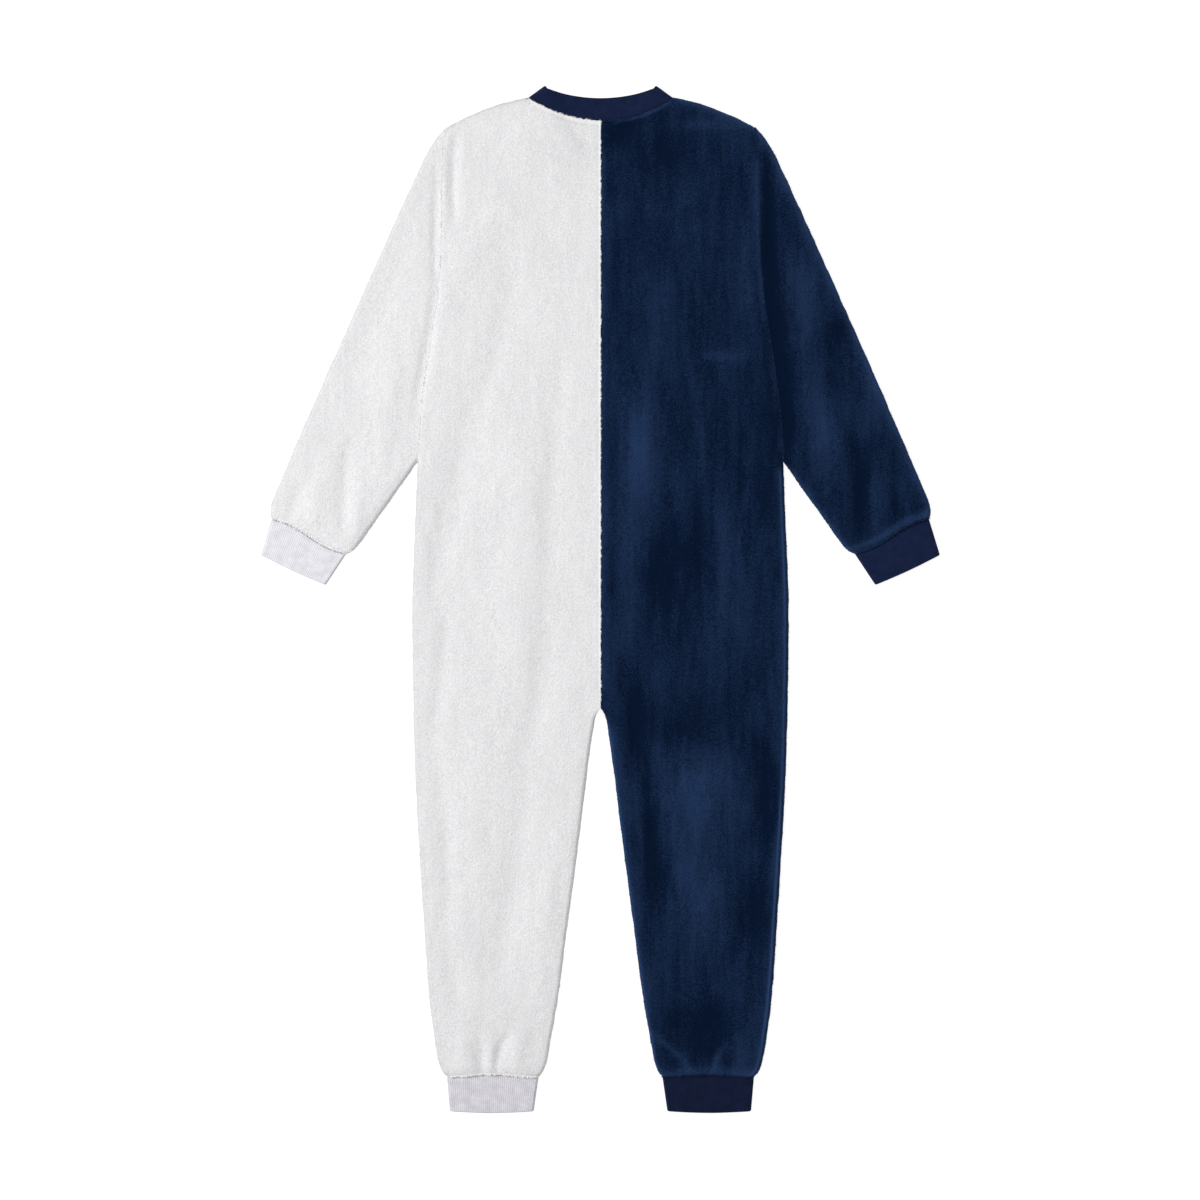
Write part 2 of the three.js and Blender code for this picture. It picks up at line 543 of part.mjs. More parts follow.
function sleeveCuffPiece() {
  const { topX, topY, underX, underY } = SLEEVE_CUFF;
  const end = [flatPoint(topX, topY), flatPoint(underX, underY)];
  const wave = (u) => -SLEEVE_WAVE * Math.sin(2 * Math.PI * u);
  const seam = [CUFF_SEAM.top, CUFF_SEAM.under];
  const spans = [{ to: 1, cells: CELLS.sleeve }];
  return cuffPiece({ end, seam, outward: HANDWARD, bow: SLEEVE_CUFF.bow, wave, spans });
}

function legCuffPiece() {
  const end = [flatPoint(LEG_CUFF.innerX, LEG_CUFF.y), flatPoint(LEG_CUFF.outerX, LEG_CUFF.y)];
  const seam = [INNER_LEG, SIDE].map((line) => flatPoint(line[0].x, HEM_Y - SEAM_GAP / 2));
  const wave = (u) => -HEM_WAVE * Math.sin(Math.PI * u) ** 2;
  const spans = panelSpans(CELLS.back);
  return cuffPiece({ end, seam, outward: flatPoint(0, -1), bow: LEG_CUFF.bow, wave, spans });
}

// The neckband as a bent strip: a section for each station from one end of the front, round the neck.
function neckband(name, material, back, front) {
  const section = [[0, -1], [0.5, -1], [0.93, -1], [1, -0.45], [1, 0.45], [0.93, 1], [0.5, 1], [0, 1]];
  const middle = BAND_LOFT / 2;
  const swing = middle - BAND_WALL / 2;
  const station = (where, share, startX, turn, side) =>
    section.map(([across, through]) => {
      const seam = neckSeam(where, lerp(startX / BAND_FOLD_SEAM.x, 1, share), SEAM_GAP / 2);
      const flat = seam.lerp(bandEdge(where, lerp(startX / BAND_FOLD_EDGE.x, 1, share)), across);
      const away = swing + (through * BAND_WALL) / 2;
      const sag = turn === 0 ? neckSag(flat.x, flat.y) : 0;
      flat.addScaledVector(BAND_OUT, away * Math.sin(turn));
      return new THREE.Vector3(flat.x * side, flat.y, middle + away * Math.cos(turn) + sag);
    });
  // The band's stations are those of the panels' necklines, so that both edges follow one line.
  const shares = (piece) =>
    columns(piece, 1)
      .filter((u, i) => u < NECK_SHARE - 0.001 && (i === 0 || i >= FOLD_TURNS.length))
      .map((u) => u / NECK_SHARE);
  const half = (side) => [
    ...shares(back).map((share) => station(NECK.back, share, 0, 0, side)),
    ...FOLD_STATIONS.map((turn) => station(NECK.back, 1, 0, turn, side)),
    ...shares(front).reverse().map((share) => station(NECK.front, share, CHANNEL, Math.PI, side)),
  ];
  const sections = [...half(-1).reverse(), ...half(1).slice(1)];
  const around = section.length;
  const at = (i, j) => i * around + (j % around);
  const faces = [];
  for (let i = 0; i < sections.length - 1; i += 1) {
    for (let j = 0; j < around; j += 1) {
      faces.push(at(i, j), at(i, j + 1), at(i + 1, j + 1), at(i, j), at(i + 1, j + 1), at(i + 1, j));
    }
  }
  const last = sections.length - 1;
  for (let j = 1; j < around - 1; j += 1) {
    faces.push(at(0, 0), at(0, j + 1), at(0, j), at(last, 0), at(last, j), at(last, j + 1));
  }
  const corners = sections.flat().flatMap((p) => [p.x, p.y, p.z]);
  return closedMesh(name, material, corners, faces);
}

// A box between two corners.
function boxGeometry([x0, y0, z0], [x1, y1, z1]) {
  const box = new THREE.BoxGeometry(x1 - x0, y1 - y0, z1 - z0);
  return box.translate((x0 + x1) / 2, (y0 + y1) / 2, (z0 + z1) / 2);
}

function solidOf(geometry) {
  const bare = geometry.clone();
  bare.deleteAttribute('normal');
  bare.deleteAttribute('uv');
  const merged = mergeVertices(bare, 1e-4);
  const triVerts = new Uint32Array(merged.index.array);
  return new wasm.Manifold(
    new wasm.Mesh({ numProp: 3, vertProperties: merged.attributes.position.array, triVerts }),
  );
}

function meshOf(name, material, solid) {
  const { vertProperties, triVerts } = solid.getMesh();
  return closedMesh(name, material, [...vertProperties], [...triVerts]);
}

// Joins overlapping shapes into one body.
function joined(name, material, shapes) {
  return meshOf(name, material, shapes.map(solidOf).reduce((all, next) => all.add(next)));
}

function zipTape(name, material, side) {
  const xs = [TAPE.inner * side, TAPE.outer * side].sort((a, b) => a - b);
  return joined(name, material, [
    boxGeometry([xs[0], ZIP_END_Y - TAPE.pastTeeth, TAPE.low], [xs[1], ZIP_TOP_Y, TAPE.high]),
  ]);
}

// The closed row of teeth, with the stop at its lower end.
function zipChain(name, material) {
  const { halfWidth, low, high } = CHAIN;
  const teethTop = SLIDER.topY - SLIDER.length / 2;
  return joined(name, material, [
    boxGeometry([-halfWidth, ZIP_END_Y, low], [halfWidth, teethTop, high]),
    boxGeometry(
      [-halfWidth, ZIP_END_Y - STOP.length, low - STOP.proud],
      [halfWidth, ZIP_END_Y + STOP.overlap, high + STOP.proud],
    ),
  ]);
}

// The slider: two plates joined by the post that parts the teeth, with the arch that holds the pull tab.
function zipSlider(name, material) {
  const { halfWidth, length, low, high, plate, flange, topY } = SLIDER;
  const foot = topY - length;
  const sides = [-1, 1].flatMap((side) => {
    const xs = [halfWidth * side, (halfWidth - flange) * side].sort((a, b) => a - b);
    return [
      boxGeometry([xs[0], foot, low + plate / 2], [xs[1], topY, TAPE.low - SEAM_GAP]),
      boxGeometry([xs[0], foot, TAPE.high + SEAM_GAP], [xs[1], topY, high - plate / 2]),
    ];
  });
  const archLegs = [-1, 1].map((end) => {
    const ys = [HINGE_Y + end * ARCH.halfLength, HINGE_Y + end * (ARCH.halfLength - ARCH.leg)];
    ys.sort((a, b) => a - b);
    return boxGeometry([-ARCH.halfWidth, ys[0], ARCH.low], [ARCH.halfWidth, ys[1], low + plate / 2]);
  });
  return joined(name, material, [
    boxGeometry([-halfWidth, foot, low], [halfWidth, topY, low + plate]),
    boxGeometry([-halfWidth, foot, high - plate], [halfWidth, topY, high]),
    boxGeometry(
      [-POST.halfWidth, topY - POST.length, low + plate / 2],
      [POST.halfWidth, topY, high - plate / 2],
    ),
    ...sides,
    ...archLegs,
    boxGeometry(
      [-ARCH.halfWidth, HINGE_Y - ARCH.halfLength, ARCH.low],
      [ARCH.halfWidth, HINGE_Y + ARCH.halfLength, ARCH.high],
    ),
  ]);
}

// The pull tab: a rounded plate with an eye, whose head is a rod under the slider's arch.
function zipPull(name, material) {
  const { halfWidth, length, low, high, corner } = PULL;
  const foot = HINGE_Y - length;
  const outline = new THREE.Shape();
  outline.moveTo(-halfWidth, HINGE_Y);
  outline.lineTo(-halfWidth, foot + corner);
  outline.quadraticCurveTo(-halfWidth, foot, -halfWidth + corner, foot);
  outline.lineTo(halfWidth - corner, foot);
  outline.quadraticCurveTo(halfWidth, foot, halfWidth, foot + corner);
  outline.lineTo(halfWidth, HINGE_Y);
  const extrusion = { depth: high - low, bevelEnabled: false, curveSegments: 6 };
  const plate = new THREE.ExtrudeGeometry(outline, extrusion).translate(0, 0, low);
  const rod = new THREE.CylinderGeometry(PULL_ROD.radius, PULL_ROD.radius, 2 * halfWidth, 16);
  rod.rotateZ(Math.PI / 2).translate(0, HINGE_Y, PULL_ROD.z);
  const eye = boxGeometry(
    [-PULL_EYE.width / 2, HINGE_Y - PULL_EYE.length, low - 1],
    [PULL_EYE.width / 2, HINGE_Y + 1, high + 1],
  );
  const body = solidOf(plate).subtract(solidOf(eye));
  return meshOf(name, material, body.add(solidOf(rod)));
}

const cloth = (color, roughness = 0.95) =>
  new THREE.MeshStandardMaterial({ color, roughness, metalness: 0, side: THREE.DoubleSide });
const whiteFleece = cloth('#e9e9ea');
const navyFleece = cloth('#14294d');
const whiteRib = cloth('#e4e2ea', 0.9);
const navyRib = cloth('#1b2347', 0.9);
const navyTape = cloth('#1a2245', 0.8);
const navyTeeth = cloth('#1c2750', 0.45);
const zipMetal = new THREE.MeshStandardMaterial({ color: '#9a9ca1', roughness: 0.35, metalness: 1 });

const HALVES = [
  { name: 'left', side: -1, folds: LEFT_FOLDS, fleece: whiteFleece, rib: whiteRib },
  { name: 'right', side: 1, folds: RIGHT_FOLDS, fleece: navyFleece, rib: navyRib },
];

const garment = new THREE.Group();
for (const half of HALVES) {
  const back = panelPiece(NECK.back, half.folds, 0, CELLS.back);
  const front = panelPiece(NECK.front, half.folds, CHANNEL, CELLS.front);
  const sleeve = sleevePiece(half.folds);
  const zipRows = Object.values(CHANNEL_OPENING).map((distance) => ZIP_END_Y + distance);
  const sleeveRows = stations(SLEEVE_STOPS, STEP.sleeveShare);
  const armholeY = columns(sleeve, 1).map((u) => lerp(SHOULDER_TIP.y, UNDERARM_Y, u));
  const backRows = panelRows(back, STEP.back, [], armholeY);
  const frontRows = panelRows(front, STEP.front, zipRows, armholeY);
  garment.add(
    panelMesh(`back_${half.name}`, half.fleece, back, backRows, 1, half.side),
    panelMesh(`front_${half.name}`, half.fleece, front, frontRows, -1, half.side),
    tubeMesh(`sleeve_${half.name}`, half.fleece, sleeve, sleeveRows, half.side),
    tubeMesh(`sleeve_cuff_${half.name}`, half.rib, sleeveCuffPiece(), CUFF_STOPS, half.side),
    tubeMesh(`leg_cuff_${half.name}`, half.rib, legCuffPiece(), CUFF_STOPS, half.side),
    zipTape(`zip_tape_${half.name}`, navyTape, half.side),
  );
  if (half.side > 0) garment.add(neckband('neckband', navyRib, back, front));
}
garment.add(
  zipChain('zip_chain', navyTeeth),
  zipSlider('zip_slider', zipMetal),
  zipPull('zip_pull', zipMetal),
);

export default garment;
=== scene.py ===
# A child's one-piece pajama in plush fleece, white on the wearer's left and navy on the right,
# with rib trims. It lies flat on its front with its back up.
# Sizes are in millimetres and become metres when a mesh is made.
import math

import bmesh
import bpy
import numpy as np
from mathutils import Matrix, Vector


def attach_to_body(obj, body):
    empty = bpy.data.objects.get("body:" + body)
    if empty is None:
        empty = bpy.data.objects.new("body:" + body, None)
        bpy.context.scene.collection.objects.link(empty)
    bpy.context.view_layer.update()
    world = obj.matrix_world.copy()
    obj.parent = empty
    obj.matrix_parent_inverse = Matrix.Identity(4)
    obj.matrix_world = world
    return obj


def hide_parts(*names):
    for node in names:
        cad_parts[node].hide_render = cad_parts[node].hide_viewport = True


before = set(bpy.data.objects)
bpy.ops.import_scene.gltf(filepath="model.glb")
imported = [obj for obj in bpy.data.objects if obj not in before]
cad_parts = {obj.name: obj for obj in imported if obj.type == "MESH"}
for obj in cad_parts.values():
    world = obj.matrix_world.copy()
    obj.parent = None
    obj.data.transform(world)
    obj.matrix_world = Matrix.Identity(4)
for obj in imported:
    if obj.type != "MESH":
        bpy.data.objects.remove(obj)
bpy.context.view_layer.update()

MM = 0.001

# Cloth: the height of two layers, and how thick each one is modelled
LOFT = 8.6
HEM_LOFT = 6.6
HEM_ROLL = 8
FLEECE_WALL = 2.2
SEAM_GAP = 0.04
CUFF_LOFT = 5.6
CUFF_WALL = 2.4
BAND_WALL = 2.6
BAND_LOFT = 8.2
LAYER_WALL = 3
LAYER_CLEARANCE = 0.4
FREE_RISE = 1.3
DEEPEST_TROUGH = -2.2

# Outline of the body
HEM_Y = -477
HEM_WAVE = 2.8
CROTCH_Y = -108.5
CROTCH_ROUND = 12
UNDERARM_Y = 137.5
SHOULDER_TIP = (155, 471.5)
SHOULDER_CROWN = 4
HIGH_EDGE = SHOULDER_TIP[1] - HEM_Y

# Neckline and neckband
BAND_FOLD_SEAM = np.array([69.2, 498.9])
BAND_FOLD_EDGE = np.array([53, 510.7])
NECK_BACK = {"seam_y": 478.5, "edge_y": 501.5, "power": 2}
NECK_FRONT = {"seam_y": 412.5, "edge_y": 433.5, "power": 2.6}
NECK_SAG = {"depth": 3, "centre_y": 513.5, "half_width": 55.5, "half_height": 80, "flat_share": 0.6}

# Zip in the centre front. Over it the folds of the back stay shallow.
CHANNEL = 5.5
CHANNEL_OPENING = (14, 6)
ZIP_END_Y = -30
ZIP_TOP_Y = 432
OVER_ZIP = {"past_end": 20, "inner": 14, "outer": 34, "share": 0.3}
TAPE = {"columns": [2.9, 5, 8, 11, 14], "row": 4, "past_end": 12, "low": 3.35, "high": 3.85}
TAPE_THREAD = 1.1
CHAIN = {"low": 3, "high": 4.2}
CHAIN_HEIGHT = CHAIN["high"] - CHAIN["low"]
CHAIN_MIDDLE = (CHAIN["high"] + CHAIN["low"]) / 2
TOOTH = {"pitch": 2.6, "width": 1.1, "reach": 0.5, "clear": 0.2, "first": 2, "corner": 0.25}
STOP = {"width": 5.2, "length": 4, "proud": 0.5, "below": 1, "corner": 0.4}
SLIDER_MIDDLE_Y = 425

# Edges of one half, as distances from the centre line
INNER_LEG = {
    "y": [-477, -474, -468, -460, -440, -400, -320, -240, -160, -120.5, -113, CROTCH_Y],
    "x": [62, 58.6, 55.6, 53, 49.6, 42.6, 32, 21.5, 11.5, 5.6, 3.4, 0],
}
SIDE = {
    "y": [-477, -474, -468, -460, -440, -400, -320, -240, -160, -60, 0, 60, UNDERARM_Y],
    "x": [153.5, 157, 160, 162.6, 166, 171.3, 177, 182, 186, 188, 188.3, 186.2, 183],
}
ARMHOLE = {
    "y": [UNDERARM_Y, 190, 225, 260, 300, 350, 430, 471.5],
    "x": [183, 179.3, 175, 169.5, 163.4, 159.4, 158.5, 155],
}

# Edges of the sleeve, from the cuff seam (share 0) to the armhole (share 1)
SLEEVE = {
    "share": [0, 0.008, 0.023, 0.045, 0.15, 0.5, 0.9, 0.96, 1],
    "top_x": [328.5, 330, 329.8, 327.5, 308, 251, 178, 165, SHOULDER_TIP[0]],
    "top_y": [80.5, 85, 91.5, 99.5, 146, 276, 437, 460, SHOULDER_TIP[1]],
    "under_x": [254.5, 248.5, 243.7, 242.1, 235.4, 213.8, 189, 185.5, 183],
    "under_y": [45.5, 48, 52.2, 54.4, 63.8, 94.2, 129, 134, UNDERARM_Y],
}
SLEEVE_WAVE = 2.4
SLEEVE_CUFF = {"top": (339.5, 44.5), "under": (275, 14.5), "bow": 1}
LEG_CUFF = {"inner_x": 67, "outer_x": 150.5, "y": -511.8, "bow": 1.7}

# Soft folds of the upper layer: the ends of each line, its bow, its width and its height
# (a trough is less than 0). A fold is lower towards its ends, which lie at these shares of a half wave.
FOLD_ENDS = (0.15, 0.85)
FOLD_COLUMNS = ("from_x", "from_y", "to_x", "to_y", "bow", "width", "height")
LEFT_FOLDS = [
    (90, 340, 123, 192, -8, 14, -1.9),
    (123, 192, 157, 22, 6, 17, -2.1),
    (152, 90, 168, -20, 0, 9, -0.9),
    (66, 150, 86, -90, 5, 22, 1.5),
    (37, 240, 52, 30, 3, 13, -1.6),
    (51, -10, 76, -170, -4, 14, -1.7),
    (79, -190, 106, -380, -6, 14, -2),
    (112, -120, 128, -290, 4, 16, 1.2),
    (150, 0, 166, -136, 0, 9, -1.7),
    (165, -150, 153, -335, -5, 9, -1.5),
    (149, -352, 143, -400, 0, 12, -1.8),
    (40, -230, 62, -400, 3, 10, 1.2),
    (93, -436, 104, -474, 3, 5, -2.1),
    (119, -446, 116, -476, 0, 6, -1.7),
    (110, -440, 110, -477, 0, 8, 1.4),
    (80, -430, 82, -474, 2, 9, 2.2),
    (137, -430, 134, -474, 0, 10, 1.8),
    (144.5, 458, 146, 378, 2, 5, -2.1),
    (163, 432, 165, 300, 1, 5, -1.7),
    (165, 300, 184, 188, 0, 6, -1.9),
    (100, 390, 150, 300, 5, 14, 1),
    (200, 350, 238, 245, 0, 15, -1.2),
    (205, 240, 222, 130, 0, 13, 1.3),
    (248, 165, 256, 72, 3, 8, -1.8),
    (236, 120, 248, 66, 0, 8, 1.1),
    (278, 116, 286, 76, 0, 9, 1.2),
    (300, 112, 310, 82, 0, 7, -1.2),
]
RIGHT_FOLDS = [
    (170, 440, 169, 300, 1, 8, -2.1),
    (170, 300, 190, 165, 0, 9, -2.1),
    (151, 445, 151, 300, -1, 6, 1.2),
    (101, 242, 146, 238, 2, 6, 1.2),
    (36, 215, 40, 60, 2, 16, 1.5),
    (68, 220, 72, 70, -3, 10, -1.4),
    (94, 150, 99, 10, 2, 8, -1.5),
    (118, 150, 121, -20, 3, 10, 1.2),
    (142, 160, 148, 20, -2, 10, -1.4),
    (60, 50, 66, -50, 0, 14, -1.3),
    (24, -60, 48, -188, -3, 8, -2),
    (48, -188, 61, -312, 2, 8, -1.9),
    (62, -132, 116, -141, 4, 10, -1.7),
    (84, -180, 92, -300, 4, 22, 1.4),
    (160, -150, 162, -262, 3, 9, -1.8),
    (161, -272, 137, -345, 4, 10, -1.7),
    (100, -392, 104, -446, 0, 22, -1.5),
    (52, -434, 96, -475, 3, 3.8, 2.8),
    (124, -446, 113, -474, -2, 4.5, 2.8),
    (80, -448, 72, -475, 0, 6, -1.9),
    (143, -425, 138, -473, 0, 9, 1.9),
    (128, -455, 127, -475, 0, 5, -1.6),
    (193, 345, 212, 226, 3, 12, 1.5),
    (212, 226, 228, 125, 0, 12, 1.5),
    (240, 270, 262, 190, 0, 13, -1.2),
    (253, 165, 260, 72, 3, 8, -2.1),
    (270, 135, 275, 78, 0, 8, 1.7),
    (290, 110, 300, 80, 0, 8, -1.8),
]

# Where the pile was stroked, with painted shade in the neck's hollow, in fold troughs and beside the
# armholes, and painted light on some ridges, as soft patches: the middle, half width, half height and
# tone of each (dark is below 0)
LEFT_NAP_AND_PAINTED_LIGHT = [
    (34, 448, 32, 26, -0.8),
    (93, 285, 10, 60, -0.35),
    (145, 90, 16, 60, -0.4),
    (152, -40, 16, 45, -0.5),
    (54, 20, 10, 90, -0.3),
    (80, -200, 12, 80, -0.3),
    (120, -352, 26, 30, -0.5),
    (225, 230, 26, 90, 0.5),
    (110, 150, 14, 90, 0.3),
    (40, 330, 26, 70, 0.2),
    (108, -440, 60, 50, -0.8),
]
RIGHT_NAP_AND_PAINTED_LIGHT = [
    (52, 446, 40, 34, -0.5),
    (104, 474, 42, 6, 0.6),
    (52, 290, 14, 80, 0.25),
    (31, 216, 12, 14, -0.4),
    (60, 212, 9, 16, -0.35),
    (39, 145, 18, 58, 0.9),
    (64, 120, 34, 50, 0.35),
    (101, 172, 5, 40, 0.45),
    (84, 170, 7, 45, -0.3),
    (122, 165, 8, 40, -0.3),
    (128, 243, 26, 5, 0.4),
    (170, 128, 14, 42, -0.5),
    (68, 26, 26, 58, -0.7),
    (27, 15, 10, 62, 0.6),
    (136, 22, 18, 52, 0.5),
    (38, -104, 9, 30, -1),
    (94, -112, 44, 22, -0.6),
    (142, -142, 28, 18, -0.5),
    (104, -184, 40, 40, 0.85),
    (92, -270, 32, 60, 0.5),
    (48, -230, 6, 80, -0.7),
    (168, -176, 10, 24, -0.6),
    (158, -298, 12, 32, -0.7),
    (104, -340, 30, 42, 0.4),
    (100, -420, 46, 19, -0.6),
    (106, -452, 17, 18, -0.75),
    (78, -455, 12, 4, 0.4),
    (118, -460, 6, 9, 0.5),
    (166.5, 385, 5, 60, -1.1),
    (172, 290, 8, 60, -1.1),
    (184, 190, 10, 50, -1),
    (208, 318, 16, 34, 0.8),
    (218, 276, 10, 20, 0.4),
    (220, 166, 14, 38, 0.8),
    (238, 270, 10, 14, -0.5),
    (268, 205, 14, 36, 0.4),
    (263, 112, 8, 34, -0.9),
    (292, 112, 20, 24, 0.35),
]

# Painted light and shade of the pile along edges and seams: painted shade (below 0) where rounded sides
# and seams turn from the light, and painted light (above 0) as highlights along the white half's centre
# seam and neckline and as rim light along the navy half's edges. Each row names its edge, the tone, how
# far inside the edge it is strongest and how wide it is. The last two say where it applies: heights, or
# distances out for hem and head. It fades in and out over a short way before and after them.
PAINTED_EDGE_LIGHT_FADE = 6
LEFT_PAINTED_EDGE_LIGHT = [
    ("low", -1.2, 5.5, 3.5, -480, -125),
    ("low", -0.8, 3.2, 0.9, -90, 480),
    ("low", 3.4, 0.6, 1.1, -90, 480),
    ("high", -3.6, 0, 3.4, -480, 130),
    ("head", -2.4, 0, 4, 76, 160),
    ("head", 2.2, 1.2, 1.6, 0, 68),
    ("head", -1.4, 5, 0.9, 0, 68),
    ("hem", -1.6, 0, 6, 50, 180),
]
LEFT_SLEEVE_PAINTED_EDGE_LIGHT = [
    ("low", -2.6, 0, 3, 60, 480),
    ("high", -1.6, 5.5, 3.5, 40, 130),
    ("hem", -0.8, 0, 4, 230, 350),
]
RIGHT_PAINTED_EDGE_LIGHT = [
    ("low", 1.5, 0.8, 2.2, -480, -125),
    ("low", 0.8, 0, 9, -480, -125),
    ("low", 0.7, 0, 6, -90, 480),
    ("high", 0.8, 0, 9, -480, 130),
    ("high", 1.6, 4.2, 1.3, -480, 130),
    ("high", 1.4, 4.2, 0.8, -440, -200),
    ("high", 1, 1.5, 3.5, 150, 440),
    ("head", 1.6, 0.8, 3, 76, 160),
    ("head", 0.7, 0, 8, 76, 160),
    ("head", 1.5, 1.8, 2.4, 14, 70),
    ("hem", 0.9, 2, 7, 50, 180),
]
RIGHT_SLEEVE_PAINTED_EDGE_LIGHT = [
    ("low", 1.6, 0.8, 3, 60, 480),
    ("low", 1, 0, 9, 60, 480),
    ("high", 1.2, 0.8, 2.5, 40, 130),
    ("high", 0.5, 0, 7, 40, 130),
    ("hem", 1.4, 4, 4.5, 230, 350),
]

# How the fleece rolls into a seam, tucks in at a folded edge and stands up in clumps of pile
SEAM_ROLL = {"width": 3.6, "most": 0.6, "armhole": 0.25, "neck": 0.3}
SIDE_TUCK = {"depth": 0.9, "turn": math.radians(24)}
CLUMPS = {"size": 8, "height": 0.25}
EDGE_WANDER = {"size": 9, "depth": 0.35}

# Tufts of pile: how far they turn round a folded edge, how far inside a seam they stand, how much they
# scatter, how deep their roots are, and how much longer they are in clumps of what size
TUFT = {
    "width": 0.6,
    "turn": math.radians(80),
    "inset": 0.9,
    "scatter": 0.35,
    "root": 0.4,
    "clump": 2.6,
    "clump_share": 0.5,
}
TUFT_TWIST = 0.45
TUFT_FLOOR = 0.05
TUFT_SHORTEST = 0.1
OUTWARD_NUDGE = {"across": 0.02, "down": 0.01}
CLUMP_SEED = 7
THREAD_ENDS = {
    "count": 9,
    "place": (-73.5, 499.5, LOFT + 0.1),
    "spread": (1.4, 2.2, 0.1),
    "rise": 0.15,
    "lengths": (1, 2.2),
    "width": 0.35,
    "seed": 4,
}

# Knit ribs: the distance from one to the next, and how far each stands up
RIB_PITCH = 2
RIB_RAISE = 0.12
STITCH_PITCH = 1.3
CUFF_SINK = {"depth": 1.2, "length": 4}
CUFF_WAVE = {"height": 0.3, "size": 13, "seed": 5}
BAND_PATTERN = {"height": 23, "faces": 30}

# Mesh steps. A stretch that is longer by less than the slack, as a share of a step, gets no step more.
EDGE_STEPS = np.array([0, 0.25, 0.6, 1.1, 1.8, 2.8, 3.6, 4.3, 5.2, 6.5])
HEM_STEPS = np.array([0, 0.4, 1, 1.8, 2.8, 4.2, 6, 8])
CROTCH_STOPS = [-CROTCH_ROUND, -7, -3, 0]
BACK_STEP = 2.5
FRONT_STEP = 5
SLEEVE_ACROSS = 170
POINTS_PER_RIB = 4
RIB_STEP = RIB_PITCH / POINTS_PER_RIB
CUFF_STEP = 2
BEND_POINTS = 9
BAND_POINTS = 10
NECKLINE_POINTS = 400
STEP_SLACK = 0.001
WELD_DISTANCE = 0.001


def lerp(a, b, t):
    return a + (b - a) * t


def smoothstep(value, start, end):
    t = np.clip((value - start) / (end - start), 0, 1)
    return t * t * (3 - 2 * t)


def pair(x, y):
    """Plan points from separate x and y values or arrays."""
    return np.stack(np.broadcast_arrays(x, y), axis=-1).astype(float)


def unit(directions):
    return directions / np.linalg.norm(directions, axis=-1, keepdims=True)


def clockwise(direction):
    """A direction in plan, turned clockwise by 90 degrees."""
    return np.stack([direction[..., 1], -direction[..., 0]], axis=-1)


def square_to(line, direction):
    """The length of a line, measured square to a direction."""
    return np.abs(line[..., 0] * direction[..., 1] - line[..., 1] * direction[..., 0])


def curve(table, key, column):
    """A smooth curve through a table's columns, as a function of the key."""
    keys, values = np.array(table[key], float), np.array(table[column], float)
    slopes = np.empty_like(values)
    slopes[1:-1] = (values[2:] - values[:-2]) / (keys[2:] - keys[:-2])
    slopes[0] = (values[1] - values[0]) / (keys[1] - keys[0])
    slopes[-1] = (values[-1] - values[-2]) / (keys[-1] - keys[-2])

    def at(value):
        value = np.clip(value, keys[0], keys[-1])
        low = np.clip(np.searchsorted(keys, value) - 1, 0, len(keys) - 2)
        span = keys[low + 1] - keys[low]
        t = (value - keys[low]) / span
        bend = span * (t * (1 - t) ** 2 * slopes[low] - t * t * (1 - t) * slopes[low + 1])
        return lerp(values[low], values[low + 1], t * t * (3 - 2 * t)) + bend

    return at


inner_leg_x = curve(INNER_LEG, "y", "x")
side_x = curve(SIDE, "y", "x")
armhole_x = curve(ARMHOLE, "y", "x")


def unevenness(x, y, size, seed):
    """Soft random heights from -1 to 1 whose bumps are about one size across."""
    cells = 256
    table = np.random.default_rng(seed).uniform(-1, 1, (cells, cells))
    far_corner = 400
    gx, gy = x / size + far_corner, y / size + far_corner
    ix, iy = np.floor(gx).astype(int), np.floor(gy).astype(int)
    tx, ty = smoothstep(gx - ix, 0, 1), smoothstep(gy - iy, 0, 1)

    def row(j):
        return lerp(table[ix % cells, j % cells], table[(ix + 1) % cells, j % cells], tx)

    return lerp(row(iy), row(iy + 1), ty)


def fold_height(fold, x, y):
    """The height one fold adds: a bell across its bowed line, lower towards both ends."""
    f = dict(zip(FOLD_COLUMNS, fold))
    dx, dy = f["to_x"] - f["from_x"], f["to_y"] - f["from_y"]
    length = math.hypot(dx, dy)
    along = np.clip(((x - f["from_x"]) * dx + (y - f["from_y"]) * dy) / length**2, 0, 1)
    bow = f["bow"] * 4 * along * (1 - along) / length
    away_x = x - (f["from_x"] + dx * along - dy * bow)
    away_y = y - (f["from_y"] + dy * along + dx * bow)
    bell = np.exp(-(away_x**2 + away_y**2) / f["width"] ** 2)
    return f["height"] * bell * np.sin(math.pi * lerp(*FOLD_ENDS, along))


def nap_and_painted_light_tone(marks, x, y):
    """Tone of the stroked pile, with its painted shade and painted light, at a point, about -1 to 1."""
    bells = (tone * np.exp(-(((x - mx) / w) ** 2) - ((y - my) / h) ** 2) for mx, my, w, h, tone in marks)
    return sum(bells)


def neck_sag(x, y):
    """How far the back sinks where the front's lower neckline leaves nothing under it."""
    s = NECK_SAG
    away = np.hypot(x / s["half_width"], (s["centre_y"] - y) / s["half_height"])
    return -s["depth"] * (1 - smoothstep(away, s["flat_share"], 1))


def relief(folds, x, y):
    """Height of the upper layer above its plain level."""
    height = sum(fold_height(fold, x, y) for fold in folds)
    free = smoothstep(x, OVER_ZIP["inner"], OVER_ZIP["outer"])
    free = np.where(y > ZIP_END_Y - OVER_ZIP["past_end"], free, 1)
    return np.maximum(height * lerp(OVER_ZIP["share"], 1, free), DEEPEST_TROUGH) + neck_sag(x, y)


